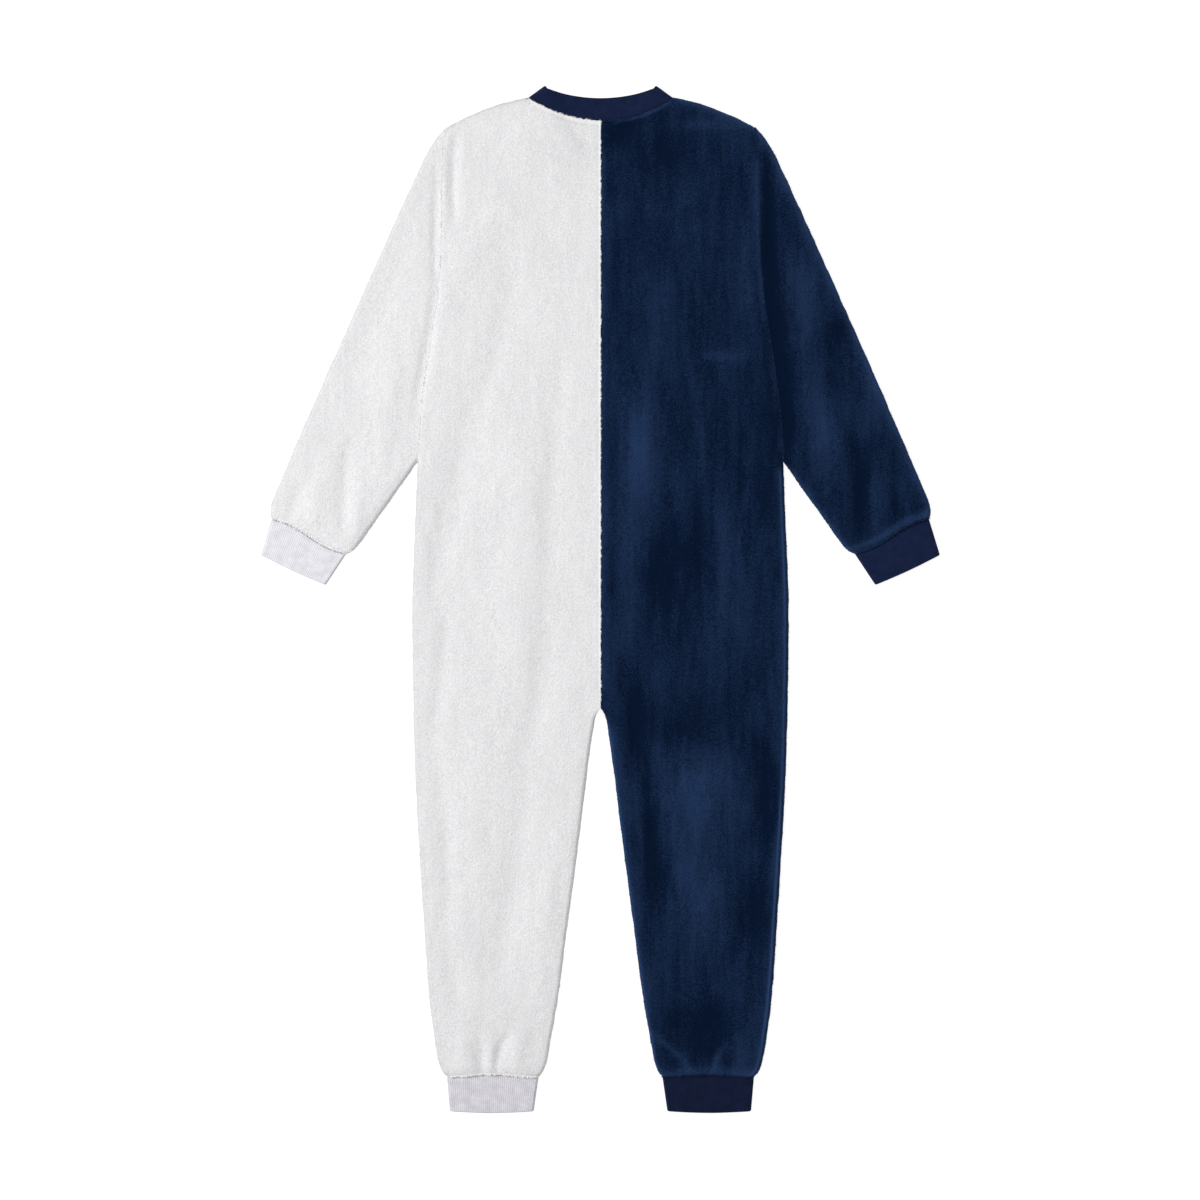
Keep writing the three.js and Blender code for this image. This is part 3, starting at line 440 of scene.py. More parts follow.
# Neckline
band_width = BAND_FOLD_EDGE - BAND_FOLD_SEAM
BAND_OUT = clockwise(band_width) / np.hypot(*band_width)
NECK_POINT = BAND_FOLD_SEAM + BAND_OUT * (BAND_LOFT + SEAM_GAP) / 2
NECK_SHARE = BAND_FOLD_SEAM[0] / SHOULDER_TIP[0]
CORNER_SHARE = NECK_POINT[0] / SHOULDER_TIP[0]


def neck_seam(where, share, move):
    """A point of the neckline's seam, moved square to it: on to the band, or on to the panel if negative."""
    nudge = 0.01

    def point(at):
        height = lerp(where["seam_y"], BAND_FOLD_SEAM[1], at ** where["power"])
        return pair(BAND_FOLD_SEAM[0] * at, height)

    along = unit(point(share + nudge) - point(np.maximum(share - nudge, 0)))
    return point(share) - clockwise(along) * move


def band_edge(where, share):
    """A point of the neckband's free edge."""
    height = lerp(where["edge_y"], BAND_FOLD_EDGE[1], share ** where["power"])
    return pair(BAND_FOLD_EDGE[0] * share, height)


class Cut:
    """A cut piece in plan, as a Coons patch. Its low and high edges run from its hem to its head."""

    ACROSS_NUDGE = 0.002
    DOWN_NUDGE = 0.01

    def __init__(self, low, high, hem, head, length):
        self.low, self.high, self.hem, self.head, self.length = low, high, hem, head, length
        self.corners = [edge(np.array(end)) for end in (0.0, 1.0) for edge in (low, high)]

    def at(self, u, v):
        u, v = np.broadcast_arrays(np.asarray(u, float), np.asarray(v, float))
        s, t = u[..., None], v[..., None]
        a, b, c, d = self.corners
        flat = a * (1 - s) * (1 - t) + b * s * (1 - t) + c * (1 - s) * t + d * s * t
        return self.low(v) * (1 - s) + self.high(v) * s + self.hem(u) * (1 - t) + self.head(u) * t - flat

    def along(self, end, share, across_end=False):
        """The direction at a share of one edge: low (end 0) or high (1), or else the hem (0) or head (1)."""
        nudge = self.DOWN_NUDGE if across_end else self.ACROSS_NUDGE
        before, after = np.maximum(share - nudge, 0), np.minimum(share + nudge, 1)
        if across_end:
            return unit(self.at(after, end) - self.at(before, end))
        return unit(self.at(end, after) - self.at(end, before))

    def across(self, side, v):
        """How far each row reaches, at least 1, measured square to the edge it ends at."""
        row = self.at(side, v) - self.at(1 - side, v)
        return np.maximum(square_to(row, self.along(side, v)), 1)

    def down(self, u):
        """How far each column would reach at its slant by the head, measured square to that end."""
        column = self.at(u, 1) - self.at(u, 1 - self.DOWN_NUDGE)
        return square_to(column, self.along(1, u, across_end=True)) / self.DOWN_NUDGE


def panel_head(where, start_x):
    """The head of a panel: its neckline, a short step round the band's fold, then its shoulder."""
    gap = SEAM_GAP / 2
    corner = NECK_POINT + clockwise(BAND_OUT) * gap
    tip = np.array([SHOULDER_TIP[0] - gap, SHOULDER_TIP[1]])

    def at(u):
        neck_t = np.clip(u / NECK_SHARE, 0, 1)
        neck = neck_seam(where, lerp(start_x / BAND_FOLD_SEAM[0], 1, neck_t), -gap)
        step_t = np.clip((u - NECK_SHARE) / (CORNER_SHARE - NECK_SHARE), 0, 1)[..., None]
        step = lerp(neck_seam(where, np.asarray(1.0), -gap), corner, step_t)
        t = np.clip((u - CORNER_SHARE) / (1 - CORNER_SHARE), 0, 1)
        crown = SHOULDER_CROWN * 4 * t * (1 - t)
        shoulder = lerp(corner, tip, t[..., None]) + pair(0, crown)
        past_neck, past_step = (u > NECK_SHARE)[..., None], (u > CORNER_SHARE)[..., None]
        return np.where(past_step, shoulder, np.where(past_neck, step, neck))

    return at


def hem_wave(u):
    return HEM_WAVE * np.sin(math.pi * u) ** 2


def sleeve_wave(u):
    return SLEEVE_WAVE * np.sin(2 * math.pi * u)


def rolled_loft(from_seam):
    """Height of the two layers, rolling down to a rib seam."""
    share = np.clip(from_seam / HEM_ROLL, 0, 1)
    return lerp(HEM_LOFT, LOFT, np.sqrt(1 - (1 - share) ** 2))


def panel_piece(where, folds, channel_x, centre_roll):
    """A front or back panel of one half, with its leg. channel_x is half the opening for the zip, and
    centre_roll is how deep the fleece rolls into the centre seam."""
    gap = SEAM_GAP / 2
    head = panel_head(where, max(channel_x, gap))
    hem_to_neck = head(np.array(0.0))[1] - HEM_Y

    def low(v):
        y = HEM_Y + hem_to_neck * v
        leg = np.where(y < CROTCH_Y, inner_leg_x(y), 0)
        channel = channel_x * smoothstep(y, *(ZIP_END_Y - below for below in CHANNEL_OPENING))
        return pair(np.maximum(np.maximum(leg, channel), gap), y)

    def high(v):
        y = lerp(HEM_Y, SHOULDER_TIP[1], v)
        return pair(np.where(y < UNDERARM_Y, side_x(y), armhole_x(y)) - gap, y)

    def hem(u):
        return pair(lerp(low(0.0)[0], high(0.0)[0], u), HEM_Y + hem_wave(u))

    return {
        "cut": Cut(low, high, hem, head, hem_to_neck),
        "gap": SEAM_GAP,
        "folds": folds,
        "loft": lambda flat: rolled_loft(flat[..., 1] - HEM_Y),
        "fold_low": lambda v: smoothstep(CROTCH_Y - low(v)[..., 1], 0, CROTCH_ROUND),
        "fold_high": lambda v: 1 - smoothstep(high(v)[..., 1], UNDERARM_Y, UNDERARM_Y + LOFT / 2),
        "fold_head": lambda u: smoothstep(u, NECK_SHARE, CORNER_SHARE),
        "rolls": (centre_roll, SEAM_ROLL["armhole"], SEAM_ROLL["neck"]),
    }


# The line of a sleeve's cuff seam, and the direction from it down to the hand
CUFF_UNDER = np.array([SLEEVE["under_x"][0], SLEEVE["under_y"][0]], float)
CUFF_TOP = np.array([SLEEVE["top_x"][0], SLEEVE["top_y"][0]], float)
HANDWARD = clockwise(unit(CUFF_TOP - CUFF_UNDER))


def sleeve_piece(folds):
    gap = SEAM_GAP / 2

    def edge(line):
        x, y = curve(SLEEVE, "share", f"{line}_x"), curve(SLEEVE, "share", f"{line}_y")
        return lambda v: pair(x(v) + gap * v, y(v))

    low, high = edge("top"), edge("under")

    def hem(u):
        u = u[..., None]
        return lerp(low(0.0), high(0.0), u) - HANDWARD * (sleeve_wave(u) + gap)

    def head(u):
        y = lerp(SHOULDER_TIP[1], UNDERARM_Y, u)
        return pair(armhole_x(y) + gap, y)

    return {
        "cut": Cut(low, high, hem, head, SHOULDER_TIP[1] - CUFF_TOP[1]),
        "gap": 0,
        "folds": folds,
        "loft": lambda flat: rolled_loft(-(flat - CUFF_UNDER) @ HANDWARD),
        "fold_low": np.ones_like,
        "fold_high": np.ones_like,
        "fold_head": np.zeros_like,
        "rolls": (0, 0, SEAM_ROLL["armhole"]),
    }


def cuff_cut(end, seam, outward, bow, wave):
    """A rib cuff between its open end (v = 0) and its seam with the fleece (v = 1)."""
    end, seam = np.array(end, float), np.array(seam, float)
    low, high = (lambda v, k=k: lerp(end[k], seam[k], v[..., None]) for k in (0, 1))

    def hem(u):
        u = u[..., None]
        return lerp(end[0], end[1], u) + outward * bow * np.sin(math.pi * u)

    def head(u):
        u = u[..., None]
        return lerp(seam[0], seam[1], u) - outward * (wave(u) - SEAM_GAP / 2)

    return Cut(low, high, hem, head, np.linalg.norm(end[0] - seam[0]))


def sleeve_cuff_cut():
    return cuff_cut(
        [SLEEVE_CUFF["top"], SLEEVE_CUFF["under"]],
        [CUFF_TOP, CUFF_UNDER],
        HANDWARD,
        SLEEVE_CUFF["bow"],
        sleeve_wave,
    )


def leg_cuff_cut():
    seam_y = HEM_Y - SEAM_GAP / 2
    return cuff_cut(
        [(LEG_CUFF["inner_x"], LEG_CUFF["y"]), (LEG_CUFF["outer_x"], LEG_CUFF["y"])],
        [(INNER_LEG["x"][0], seam_y), (SIDE["x"][0], seam_y)],
        np.array([0.0, -1.0]),
        LEG_CUFF["bow"],
        hem_wave,
    )


def turned(distance, radius, folded):
    """How far the cloth has turned over from upright at its folded edge to flat."""
    return lerp(math.pi / 2, np.arccos(np.clip(1 - distance / radius, 0, 1)), folded)


def rolled(distance, depth, folded):
    """How far a sewn edge that isn't folded rolls down into its seam."""
    return depth * np.clip(1 - distance / SEAM_ROLL["width"], 0, 1) ** 2 * (1 - folded)


def tucked(turn, folded):
    """How far a side seam draws in between the rounded edges of the two layers."""
    return SIDE_TUCK["depth"] * np.clip(1 - turn / SIDE_TUCK["turn"], 0, 1) ** 2 * folded


def edge_distances(piece, u, v):
    """How far points lie inside the low, high and head edges of a piece, each measured square to it."""
    cut = piece["cut"]
    return u * cut.across(0, v), (1 - u) * cut.across(1, v), (1 - v) * cut.down(u)


def pile_tone(piece, u, v):
    """Tone of the pile at each point: stroked patches with painted shade, painted light on the folds' ridges
    and painted shade in their troughs, and painted light and shade along edges and seams.
    """
    plan = piece["cut"].at(u, v)
    x, y = plan[..., 0], plan[..., 1]
    # Painted light on the folds' ridges and painted shade in their troughs, from their heights.
    tone = nap_and_painted_light_tone(piece["nap_and_painted_light"], x, y) + piece["painted_fold_light"] * relief(piece["folds"], x, y)
    inside = dict(zip(("low", "high", "head"), edge_distances(piece, u, v)))
    inside["hem"] = v * piece["cut"].length
    # Painted shade and painted light along edges and seams.
    for edge, strength, inset, width, start, end in piece["painted_edge_light"]:
        along = y if edge in ("low", "high") else x
        started = smoothstep(along, start - PAINTED_EDGE_LIGHT_FADE, start + PAINTED_EDGE_LIGHT_FADE)
        unended = smoothstep(end - along, -PAINTED_EDGE_LIGHT_FADE, PAINTED_EDGE_LIGHT_FADE)
        bell = np.exp(-(((inside[edge] - inset) / width) ** 2))
        tone = tone + strength * bell * started * unended
    return tone


def fleece_points(piece, u, v, face, seed):
    """Points on the outside of a piece of fleece. face is 1 for the upper layer and -1 for the lower."""
    cut = piece["cut"]
    low, high, down = cut.across(0, v), cut.across(1, v), cut.down(u)
    plain = cut.at(u, v)
    radius = piece["loft"](plain) / 2
    folded = piece["fold_low"](v), piece["fold_high"](v), piece["fold_head"](u)
    from_edge = edge_distances(piece, u, v)
    turns = [turned(distance, radius, fold) for distance, fold in zip(from_edge, folded)]
    upright = np.sin(turns[0]) * np.sin(turns[1]) * np.sin(turns[2])
    wander = EDGE_WANDER["depth"] * unevenness(plain[..., 0], plain[..., 1], EDGE_WANDER["size"], seed)
    tucks = [tucked(turn, fold) if piece["gap"] else 0 for turn, fold in zip(turns, folded)]
    shift = [tuck + wander * np.cos(turn) for tuck, turn in zip(tucks, turns)]
    flat = cut.at(u + shift[0] / low - shift[1] / high, v - shift[2] / down)
    x, y = flat[..., 0], flat[..., 1]
    lift = relief(piece["folds"], x, y)
    loft = 2 * radius
    rest = np.maximum(lift - FREE_RISE, 0) * smoothstep(loft, HEM_LOFT, LOFT)
    above_lower = rest + 2 * LAYER_WALL + LAYER_CLEARANCE
    level = np.maximum(loft + lift, above_lower) if face > 0 else rest
    middle = radius + face * piece["gap"] / 2
    z = lerp(middle, level, upright)
    sink = sum(rolled(*edge) for edge in zip(from_edge, piece["rolls"], folded))
    sink = np.minimum(sink, SEAM_ROLL["most"])
    if face > 0:
        clumps = CLUMPS["height"] * unevenness(x, y, CLUMPS["size"], seed + 1)
        z = z + (clumps - sink) * upright
    else:
        z = z + sink * upright
    return np.stack([x, y, z], axis=-1)


def spread_columns(piece, v, spans):
    """Shares at which each row's points stand: close together at both edges, and even between them.
    Each span gives the share it runs to and its number of cells."""
    low = EDGE_STEPS / piece["cut"].across(0, v)[:, None]
    high = 1 - EDGE_STEPS[::-1] / piece["cut"].across(1, v)[:, None]
    parts = [low]
    start = low[:, -1:]
    for to, cells in spans:
        end = np.minimum(to, high[:, :1])
        parts.append(lerp(start, end, np.arange(1, cells + 1) / cells))
        start = end
    return np.hstack(parts + [high[:, 1:]])


def rows_between(stops, step):
    """Fills the stretches between stops with even steps."""
    rows = [stops[0]]
    for start, end in zip(stops, stops[1:]):
        count = max(1, math.ceil((end - start) / step - STEP_SLACK))
        rows.extend(start + (end - start) * k / count for k in range(1, count + 1))
    return np.array(rows)


def tube_points(outside, u, v):
    """A ring of points for each row: over the upper layer from fold to fold, and back under the lower."""
    return np.concatenate([outside(u, v, 1), outside(u[:, -2:0:-1], v, -1)], axis=1)


def set_points(mesh, points):
    mesh.vertices.foreach_set("co", (points * MM).astype(np.float32).ravel())


def facing_outwards(bm, centre):
    """Turns all faces over if, taken together, they face inwards as seen from the centre."""
    facing = (face.calc_area() * face.normal.dot(face.calc_center_median() - centre) for face in bm.faces)
    if sum(facing) < 0:
        bmesh.ops.reverse_faces(bm, faces=bm.faces)


def store(mesh, name, kind, key, values):
    mesh.attributes.new(name, kind, "POINT").data.foreach_set(key, values.astype(np.float32).ravel())


def grid_object(name, points, side, around=False, along=False, cloth=None, tone=None):
    """A mesh on a grid of points in mm. around and along join its last column or row to its first.
    cloth gives the place of columns and rows on the flat cloth in mm, for patterns that follow it.
    tone is kept on the points."""
    tones = np.broadcast_to(0 if tone is None else tone, points.shape[:2])
    values = np.dstack([points, tones])
    values = np.pad(values, ((0, int(along)), (0, int(around)), (0, 0)), mode="wrap")
    points = values[..., :3] * [side, 1, 1]
    rows, columns = points.shape[:2]
    bm = bmesh.new()
    bmesh.ops.create_grid(bm, x_segments=columns - 1, y_segments=rows - 1, size=1)
    for face in bm.faces:
        face.smooth = True
    mesh = bpy.data.meshes.new(name)
    bm.to_mesh(mesh)
    flat = np.empty(len(mesh.vertices) * 3, np.float32)
    mesh.vertices.foreach_get("co", flat)
    place = (flat.reshape(-1, 3)[:, :2] + 1) / 2 * [columns - 1, rows - 1]
    j, i = np.rint(place).astype(int).T
    set_points(mesh, points[i, j])
    if cloth is not None:
        across, down = cloth[0][j], cloth[1][i]
        store(mesh, "cloth", "FLOAT_VECTOR", "vector", np.stack([across, down, 0 * across], axis=-1) * MM)
    if tone is not None:
        store(mesh, "tone", "FLOAT", "value", values[i, j, 3])
    bm.clear()
    bm.from_mesh(mesh)
    if around or along:
        bmesh.ops.remove_doubles(bm, verts=bm.verts, dist=WELD_DISTANCE * MM)
    bmesh.ops.recalc_face_normals(bm, faces=bm.faces)
    middle_x, middle_y = points.reshape(-1, 3).mean(axis=0)[:2]
    facing_outwards(bm, Vector((middle_x, middle_y, LOFT / 2)) * MM)
    bm.to_mesh(mesh)
    bm.free()
    return link_object(name, mesh)


def link_object(name, mesh):
    piece = bpy.data.objects.new(name, mesh)
    bpy.context.scene.collection.objects.link(piece)
    return piece


def give_thickness(piece, wall):
    """A wall of cloth on the inner side of a piece's surface."""
    solidify = piece.modifiers.new("wall", "SOLIDIFY")
    solidify.thickness = wall * MM
    solidify.offset = -1


def attach(piece, material, slot, *nodes):
    """Gives a piece its material and fastens it to the garment in place of the CAD nodes named."""
    piece.data.materials.append(material)
    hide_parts(*nodes)
    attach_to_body(piece, "garment")


def dress(piece, material, slot, node, flat, area=None, rests_on=(), with_pieces=()):
    """Attaches a piece of cloth."""
    attach(piece, material, slot, node)


# Fleece panels
def panel_rows(piece, step):
    length = piece["cut"].length
    crotch = np.array(CROTCH_STOPS) + CROTCH_Y - HEM_Y
    underarm = (np.array([0, LOFT / 2]) + UNDERARM_Y - HEM_Y) * length / HIGH_EDGE
    stops = np.concatenate([HEM_STEPS, crotch, underarm, length - EDGE_STEPS])
    return rows_between(np.sort(stops) / length, step / length)


def panel_object(name, piece, side, face, step, seed):
    v = panel_rows(piece, step)
    neck, shoulder = NECK_SHARE * SHOULDER_TIP[0], (1 - CORNER_SHARE) * SIDE["x"][-1]
    corner_cells = 3
    spans = [
        (NECK_SHARE, math.ceil(neck / step)),
        (CORNER_SHARE, corner_cells),
        (1, math.ceil(shoulder / step)),
    ]
    u = spread_columns(piece, v, spans)
    v = v[:, None]
    panel = grid_object(name, fleece_points(piece, u, v, face, seed), side, tone=pile_tone(piece, u, v))
    give_thickness(panel, FLEECE_WALL)
    return panel


def sleeve_object(name, piece, side, step, seed):
    length = piece["cut"].length
    v = rows_between(np.concatenate([HEM_STEPS, length - EDGE_STEPS[::-1]]) / length, step / length)
    u = spread_columns(piece, v, [(1, math.ceil(SLEEVE_ACROSS / step))])
    v = v[:, None]
    points = tube_points(lambda at_u, at_v, face: fleece_points(piece, at_u, at_v, face, seed), u, v)
    tone = tube_points(lambda at_u, at_v, face: pile_tone(piece, at_u, at_v), u, v)
    sleeve = grid_object(name, points, side, around=True, tone=tone)
    give_thickness(sleeve, FLEECE_WALL)
    return sleeve


# Rib cuffs and neckband
def cuff_object(name, cut, side, tone):
    """A rib cuff folded double: each rib runs up the outside, over the folded end and up the inside.
    tone is painted light (above 0) or painted shade (below 0) over the whole cuff."""
    radius = CUFF_LOFT / 2
    width = float(cut.across(0, np.array(0.5)))
    half = width + (math.pi - 2) * radius
    ribs = round(2 * half / RIB_PITCH)
    points_around = ribs * POINTS_PER_RIB
    arc = np.arange(points_around) * 2 * half / points_around
    from_fold = np.minimum(arc % half, half - arc % half)
    inset = np.where(
        from_fold < radius * math.pi / 2,
        radius * (1 - np.cos(np.minimum(from_fold / radius, math.pi / 2))),
        from_fold - radius * (math.pi / 2 - 1),
    )
    share = np.where(arc % half <= half / 2, inset, width - inset) / width
    upper = arc < half
    u = np.where(upper, share, 1 - share)[None]
    face = np.where(upper, 1, -1)[None]
    raise_by = RIB_RAISE * np.cos(2 * math.pi * ribs * arc / (2 * half))[None]
    turn = np.linspace(0, math.pi, BEND_POINTS)[1:-1]
    edge = CUFF_WALL / 2
    flat_part = rows_between(np.array([edge, cut.length]), CUFF_STEP)
    from_end = np.concatenate([flat_part[::-1], edge * (1 - np.sin(turn)), flat_part])
    skin = np.concatenate([0 * flat_part, (1 - np.cos(turn)) / 2, 1 + 0 * flat_part])[:, None]
    v = (from_end / cut.length)[:, None]
    low, high = cut.across(0, v), cut.across(1, v)
    turns = turned(u * low, radius, 1), turned((1 - u) * high, radius, 1)
    upright = np.sin(turns[0]) * np.sin(turns[1])
    depth = skin * CUFF_WALL - raise_by * (1 - 2 * skin)
    plan = cut.at(u + depth * (np.cos(turns[0]) / low - np.cos(turns[1]) / high), v)
    near_seam = np.clip((from_end[:, None] - cut.length) / CUFF_SINK["length"] + 1, 0, 1)
    wave = unevenness(plan[..., 0], plan[..., 1], CUFF_WAVE["size"], CUFF_WAVE["seed"])
    sink = (CUFF_SINK["depth"] * near_seam**2 + CUFF_WAVE["height"] * wave) * (face > 0)
    z = lerp(radius, np.where(face > 0, CUFF_LOFT, 0), upright) - (face * depth + sink) * upright
    points = np.concatenate([plan, np.broadcast_to(z, plan.shape[:2])[..., None]], axis=-1)
    run = np.cumsum(np.abs(np.diff(from_end, prepend=from_end[0])))
    cloth = (np.append(arc, 2 * half), np.append(run, 0))
    return grid_object(name, points, side, around=True, along=True, cloth=cloth, tone=tone)


def neckband_object(name):
    """The neckband as one folded strip, bent over at each shoulder, with both ends at the zip."""
    middle, edge = BAND_LOFT / 2, BAND_WALL / 2
    swing = middle - edge

    def line(where, start_x):
        """Shares evenly spaced along the neckline, from the centre to the fold at the shoulder."""
        share = np.linspace(start_x / BAND_FOLD_SEAM[0], 1, NECKLINE_POINTS)
        points = neck_seam(where, share, 0)
        run = np.concatenate([[0], np.cumsum(np.linalg.norm(np.diff(points, axis=0), axis=1))])
        count = math.ceil(run[-1] / RIB_STEP)
        even = np.interp(np.linspace(0, run[-1], count + 1), run, share)
        return (even - even[0]) / (1 - even[0]), run[-1]

    back_share, back_run = line(NECK_BACK, 0)
    front_share, front_run = line(NECK_FRONT, CHANNEL)
    fold_turns = np.linspace(0, math.pi, math.ceil(math.pi * middle / RIB_STEP) + 1)
    angle = np.linspace(0, math.pi, BEND_POINTS)
    flat_part = np.linspace(0, 1, BAND_POINTS)[:-1]
    share_across = np.concatenate([flat_part, 1 + 0 * angle, flat_part[::-1]])
    through = np.concatenate([1 + 0 * flat_part, np.cos(angle), -1 + 0 * flat_part])
    round_out = np.concatenate([0 * flat_part, np.sin(angle), 0 * flat_part])

    def stations(where, share, start_x, turn, side, run):
        """The ring of points at each station: shares along the neckline, or turns of the fold."""
        share, turn = np.broadcast_arrays(share, turn)
        seam = neck_seam(where, lerp(start_x / BAND_FOLD_SEAM[0], 1, share), SEAM_GAP / 2)[:, None]
        free = band_edge(where, lerp(start_x / BAND_FOLD_EDGE[0], 1, share))[:, None]
        width = np.linalg.norm(free - seam, axis=-1)
        at = share_across[None] * (1 - edge / width) + round_out[None] * edge / width
        plan = lerp(seam, free, at[..., None])
        raised = RIB_RAISE * np.cos(2 * math.pi * run / RIB_PITCH)[:, None]
        away = swing + through[None] * (edge + raised)
        sag = np.where(turn[:, None] == 0, neck_sag(plan[..., 0], plan[..., 1]), 0)
        plan = plan + BAND_OUT * (away * np.sin(turn)[:, None])[..., None]
        z = middle + away * np.cos(turn)[:, None] + sag
        return np.stack([plan[..., 0] * side, plan[..., 1], z], axis=-1)

    def half(side):
        fold_run = back_run + fold_turns * middle
        end_run = fold_run[-1] + (1 - front_share) * front_run
        back = stations(NECK_BACK, back_share, 0, 0.0, side, back_share * back_run)
        fold = stations(NECK_BACK, 1.0, 0, fold_turns, side, fold_run)
        front = stations(NECK_FRONT, front_share, CHANNEL, math.pi, side, end_run)[::-1]
        return np.concatenate([back, fold[1:], front[1:]])

    points = np.concatenate([half(-1)[::-1], half(1)[1:]])
    along = np.cumsum(np.linalg.norm(np.diff(points[:, 0], axis=0, prepend=points[:1, 0]), axis=-1))
    down = np.append(share_across * BAND_PATTERN["height"] + through * BAND_PATTERN["faces"], 0)
    return grid_object(name, points, 1, around=True, cloth=(down, along))


# Pile along edges and seams
def tufts_object(name, roots, leans, lengths, width, seed):
    """Short tapering tufts of pile as one mesh. Each is a triangle from its root along its lean."""
    rng = np.random.default_rng(seed)
    twist = rng.normal(0, TUFT_TWIST, roots.shape) + [0, 0, 1]
    sideways = unit(np.cross(leans, twist)) * width / 2
    corners = [roots - sideways, roots + sideways, roots + leans * lengths[:, None]]
    vertices = np.stack(corners, axis=1).reshape(-1, 3) * MM
    mesh = bpy.data.meshes.new(name)
    mesh.from_pydata(vertices.tolist(), [], np.arange(len(vertices)).reshape(-1, 3).tolist())
    return link_object(name, mesh)


def edge_tufts(piece, side, edge, start, end, per_mm, reach, lift, tone, rng, seed):
    """Roots, leans, lengths and tones of tufts along one edge of a piece, as tuft_rows describes them."""
    cut, folded, runs_up = piece["cut"], lift is None, edge in ("low", "high")
    base = int(edge in ("high", "head"))
    inward = 1 - 2 * base
    span = cut.length if runs_up else float(cut.across(0, np.array(0.5)))
    count = int(span * abs(end - start) * per_mm)
    t = rng.uniform(start, end, count)
    top = rng.choice([-1, 1], count) if folded else np.ones(count)
    turn = rng.uniform(0, TUFT["turn"], count)
    inset = LOFT / 2 * (1 - np.cos(turn)) if folded else rng.uniform(0, TUFT["inset"], count)
    if runs_up:
        u, v = base + inward * inset / cut.across(base, t), t
        outward = cut.at(base, t) - cut.at(base + inward * OUTWARD_NUDGE["across"], t)
    else:
        u, v = t, base + inward * inset / cut.down(t)
        outward = cut.at(t, base) - cut.at(t, base + inward * OUTWARD_NUDGE["down"])
    along = cut.along(base, t, across_end=not runs_up)
    outward = unit(outward - along * np.sum(outward * along, axis=-1, keepdims=True))
    upper, lower = (fleece_points(piece, u, v, face, seed) for face in (1, -1))
    roots = np.where((top > 0)[:, None], upper, lower)
    rise = np.sin(turn) if folded else np.full(count, lift)
    plan = np.cos(turn) if folded else np.sqrt(1 - rise**2)
    leans = np.concatenate([outward * plan[:, None], (top * rise)[:, None]], axis=-1)
    leans = unit(leans + rng.normal(0, TUFT["scatter"], leans.shape))
    clumps = TUFT["clump_share"] * unevenness(t * span, 0 * t, TUFT["clump"], seed + CLUMP_SEED)
    lengths = rng.uniform(*reach, count) * (1 + clumps)
    mirror = np.array([side, 1, 1])
    return (roots - leans * TUFT["root"]) * mirror, leans * mirror, lengths, np.full(count, tone)


def join_tufts(name, groups, seed):
    """Groups of tufts as one mesh. No tip goes below the surface that the garment lies on."""
    roots, leans, lengths, tones = (np.concatenate(part) for part in zip(*groups))
    leans[:, 2] = np.maximum(leans[:, 2], (TUFT_FLOOR - roots[:, 2]) / np.maximum(lengths, TUFT_SHORTEST))
    pile = tufts_object(name, roots, leans, lengths, TUFT["width"], seed)
    store(pile.data, "tone", "FLOAT", "value", np.repeat(tones, 3))
    return pile


def tuft_rows(half, crotch, underarm):
    """Where tufts stand: the piece, the pile, the edge, the shares of it they start and end at, how many
    there are for each mm, their lengths, how steeply they rise from a seam (None at a folded edge, where
    they stand straight out) and their tone, which at the white half's armhole is painted shade."""
    fold, hem = (7, (0.6, 1.2), None, 0), (10, (0.8, 2.4), 0.1, 0)
    # The armhole tufts take the half's painted shade along the armhole seam.
    armhole = (9, (1, 2.2), 0.35, half["armhole_painted_shade"])
    rows = [
        ("back", "edge", "low", 0, crotch, *fold),
        ("back", "edge", "high", 0, underarm, *fold),
        ("back", "edge", "head", CORNER_SHARE, 1, *fold),
        ("sleeve", "edge", "low", 0, 1, *fold),
        ("sleeve", "edge", "high", 0, 1, *fold),
        ("back", "seam", "hem", 0, 1, *hem),
        ("back", "seam", "head", 0, NECK_SHARE, 9, (0.6, 2), 0.15, 0),
        ("back", "seam", "high", underarm, 1, *armhole),
        ("sleeve", "seam", "hem", 0, 1, *hem),
        ("sleeve", "seam", "head", 0, 1, *armhole),
    ]
    if half["colour"] == "white":
        rows.append(("back", "seam", "low", crotch, 1, 9, (0.8, 1.9), 0.15, 0))
    return rows


def pile_objects(half, pieces, materials):
    """The pile of a half's back and sleeve: on each, tufts along its folded edges and along its seams."""
    rng = np.random.default_rng(half["seed"])
    crotch = (CROTCH_Y - HEM_Y) / pieces["back"]["cut"].length
    underarm = (UNDERARM_Y - HEM_Y) / HIGH_EDGE
    groups = {(part, kind): [] for part in pieces for kind in materials}
    for part, kind, *row in tuft_rows(half, crotch, underarm):
        tufts = edge_tufts(pieces[part], half["side"], *row, rng, half["seed"])
        groups[part, kind].append(tufts)
    piles = {part: [] for part in pieces}
    for (part, kind), tufts in groups.items():
        pile = join_tufts(f"pile_{part}_{kind}_{half['name']}", tufts, half["seed"])
        attach(pile, materials[kind], f"fleece_{half['colour']}")
        piles[part].append(pile)
    return piles


# Zip
def zip_tape_object(name, side):
    y = np.arange(ZIP_END_Y - TAPE["past_end"], ZIP_TOP_Y + 1, float(TAPE["row"]))[:, None]
    x = np.array(TAPE["columns"] + TAPE["columns"][::-1])[None]
    z = np.repeat([TAPE["high"], TAPE["low"]], len(TAPE["columns"]))[None]
    return grid_object(name, np.stack(np.broadcast_arrays(x, y, z), axis=-1), side, around=True)


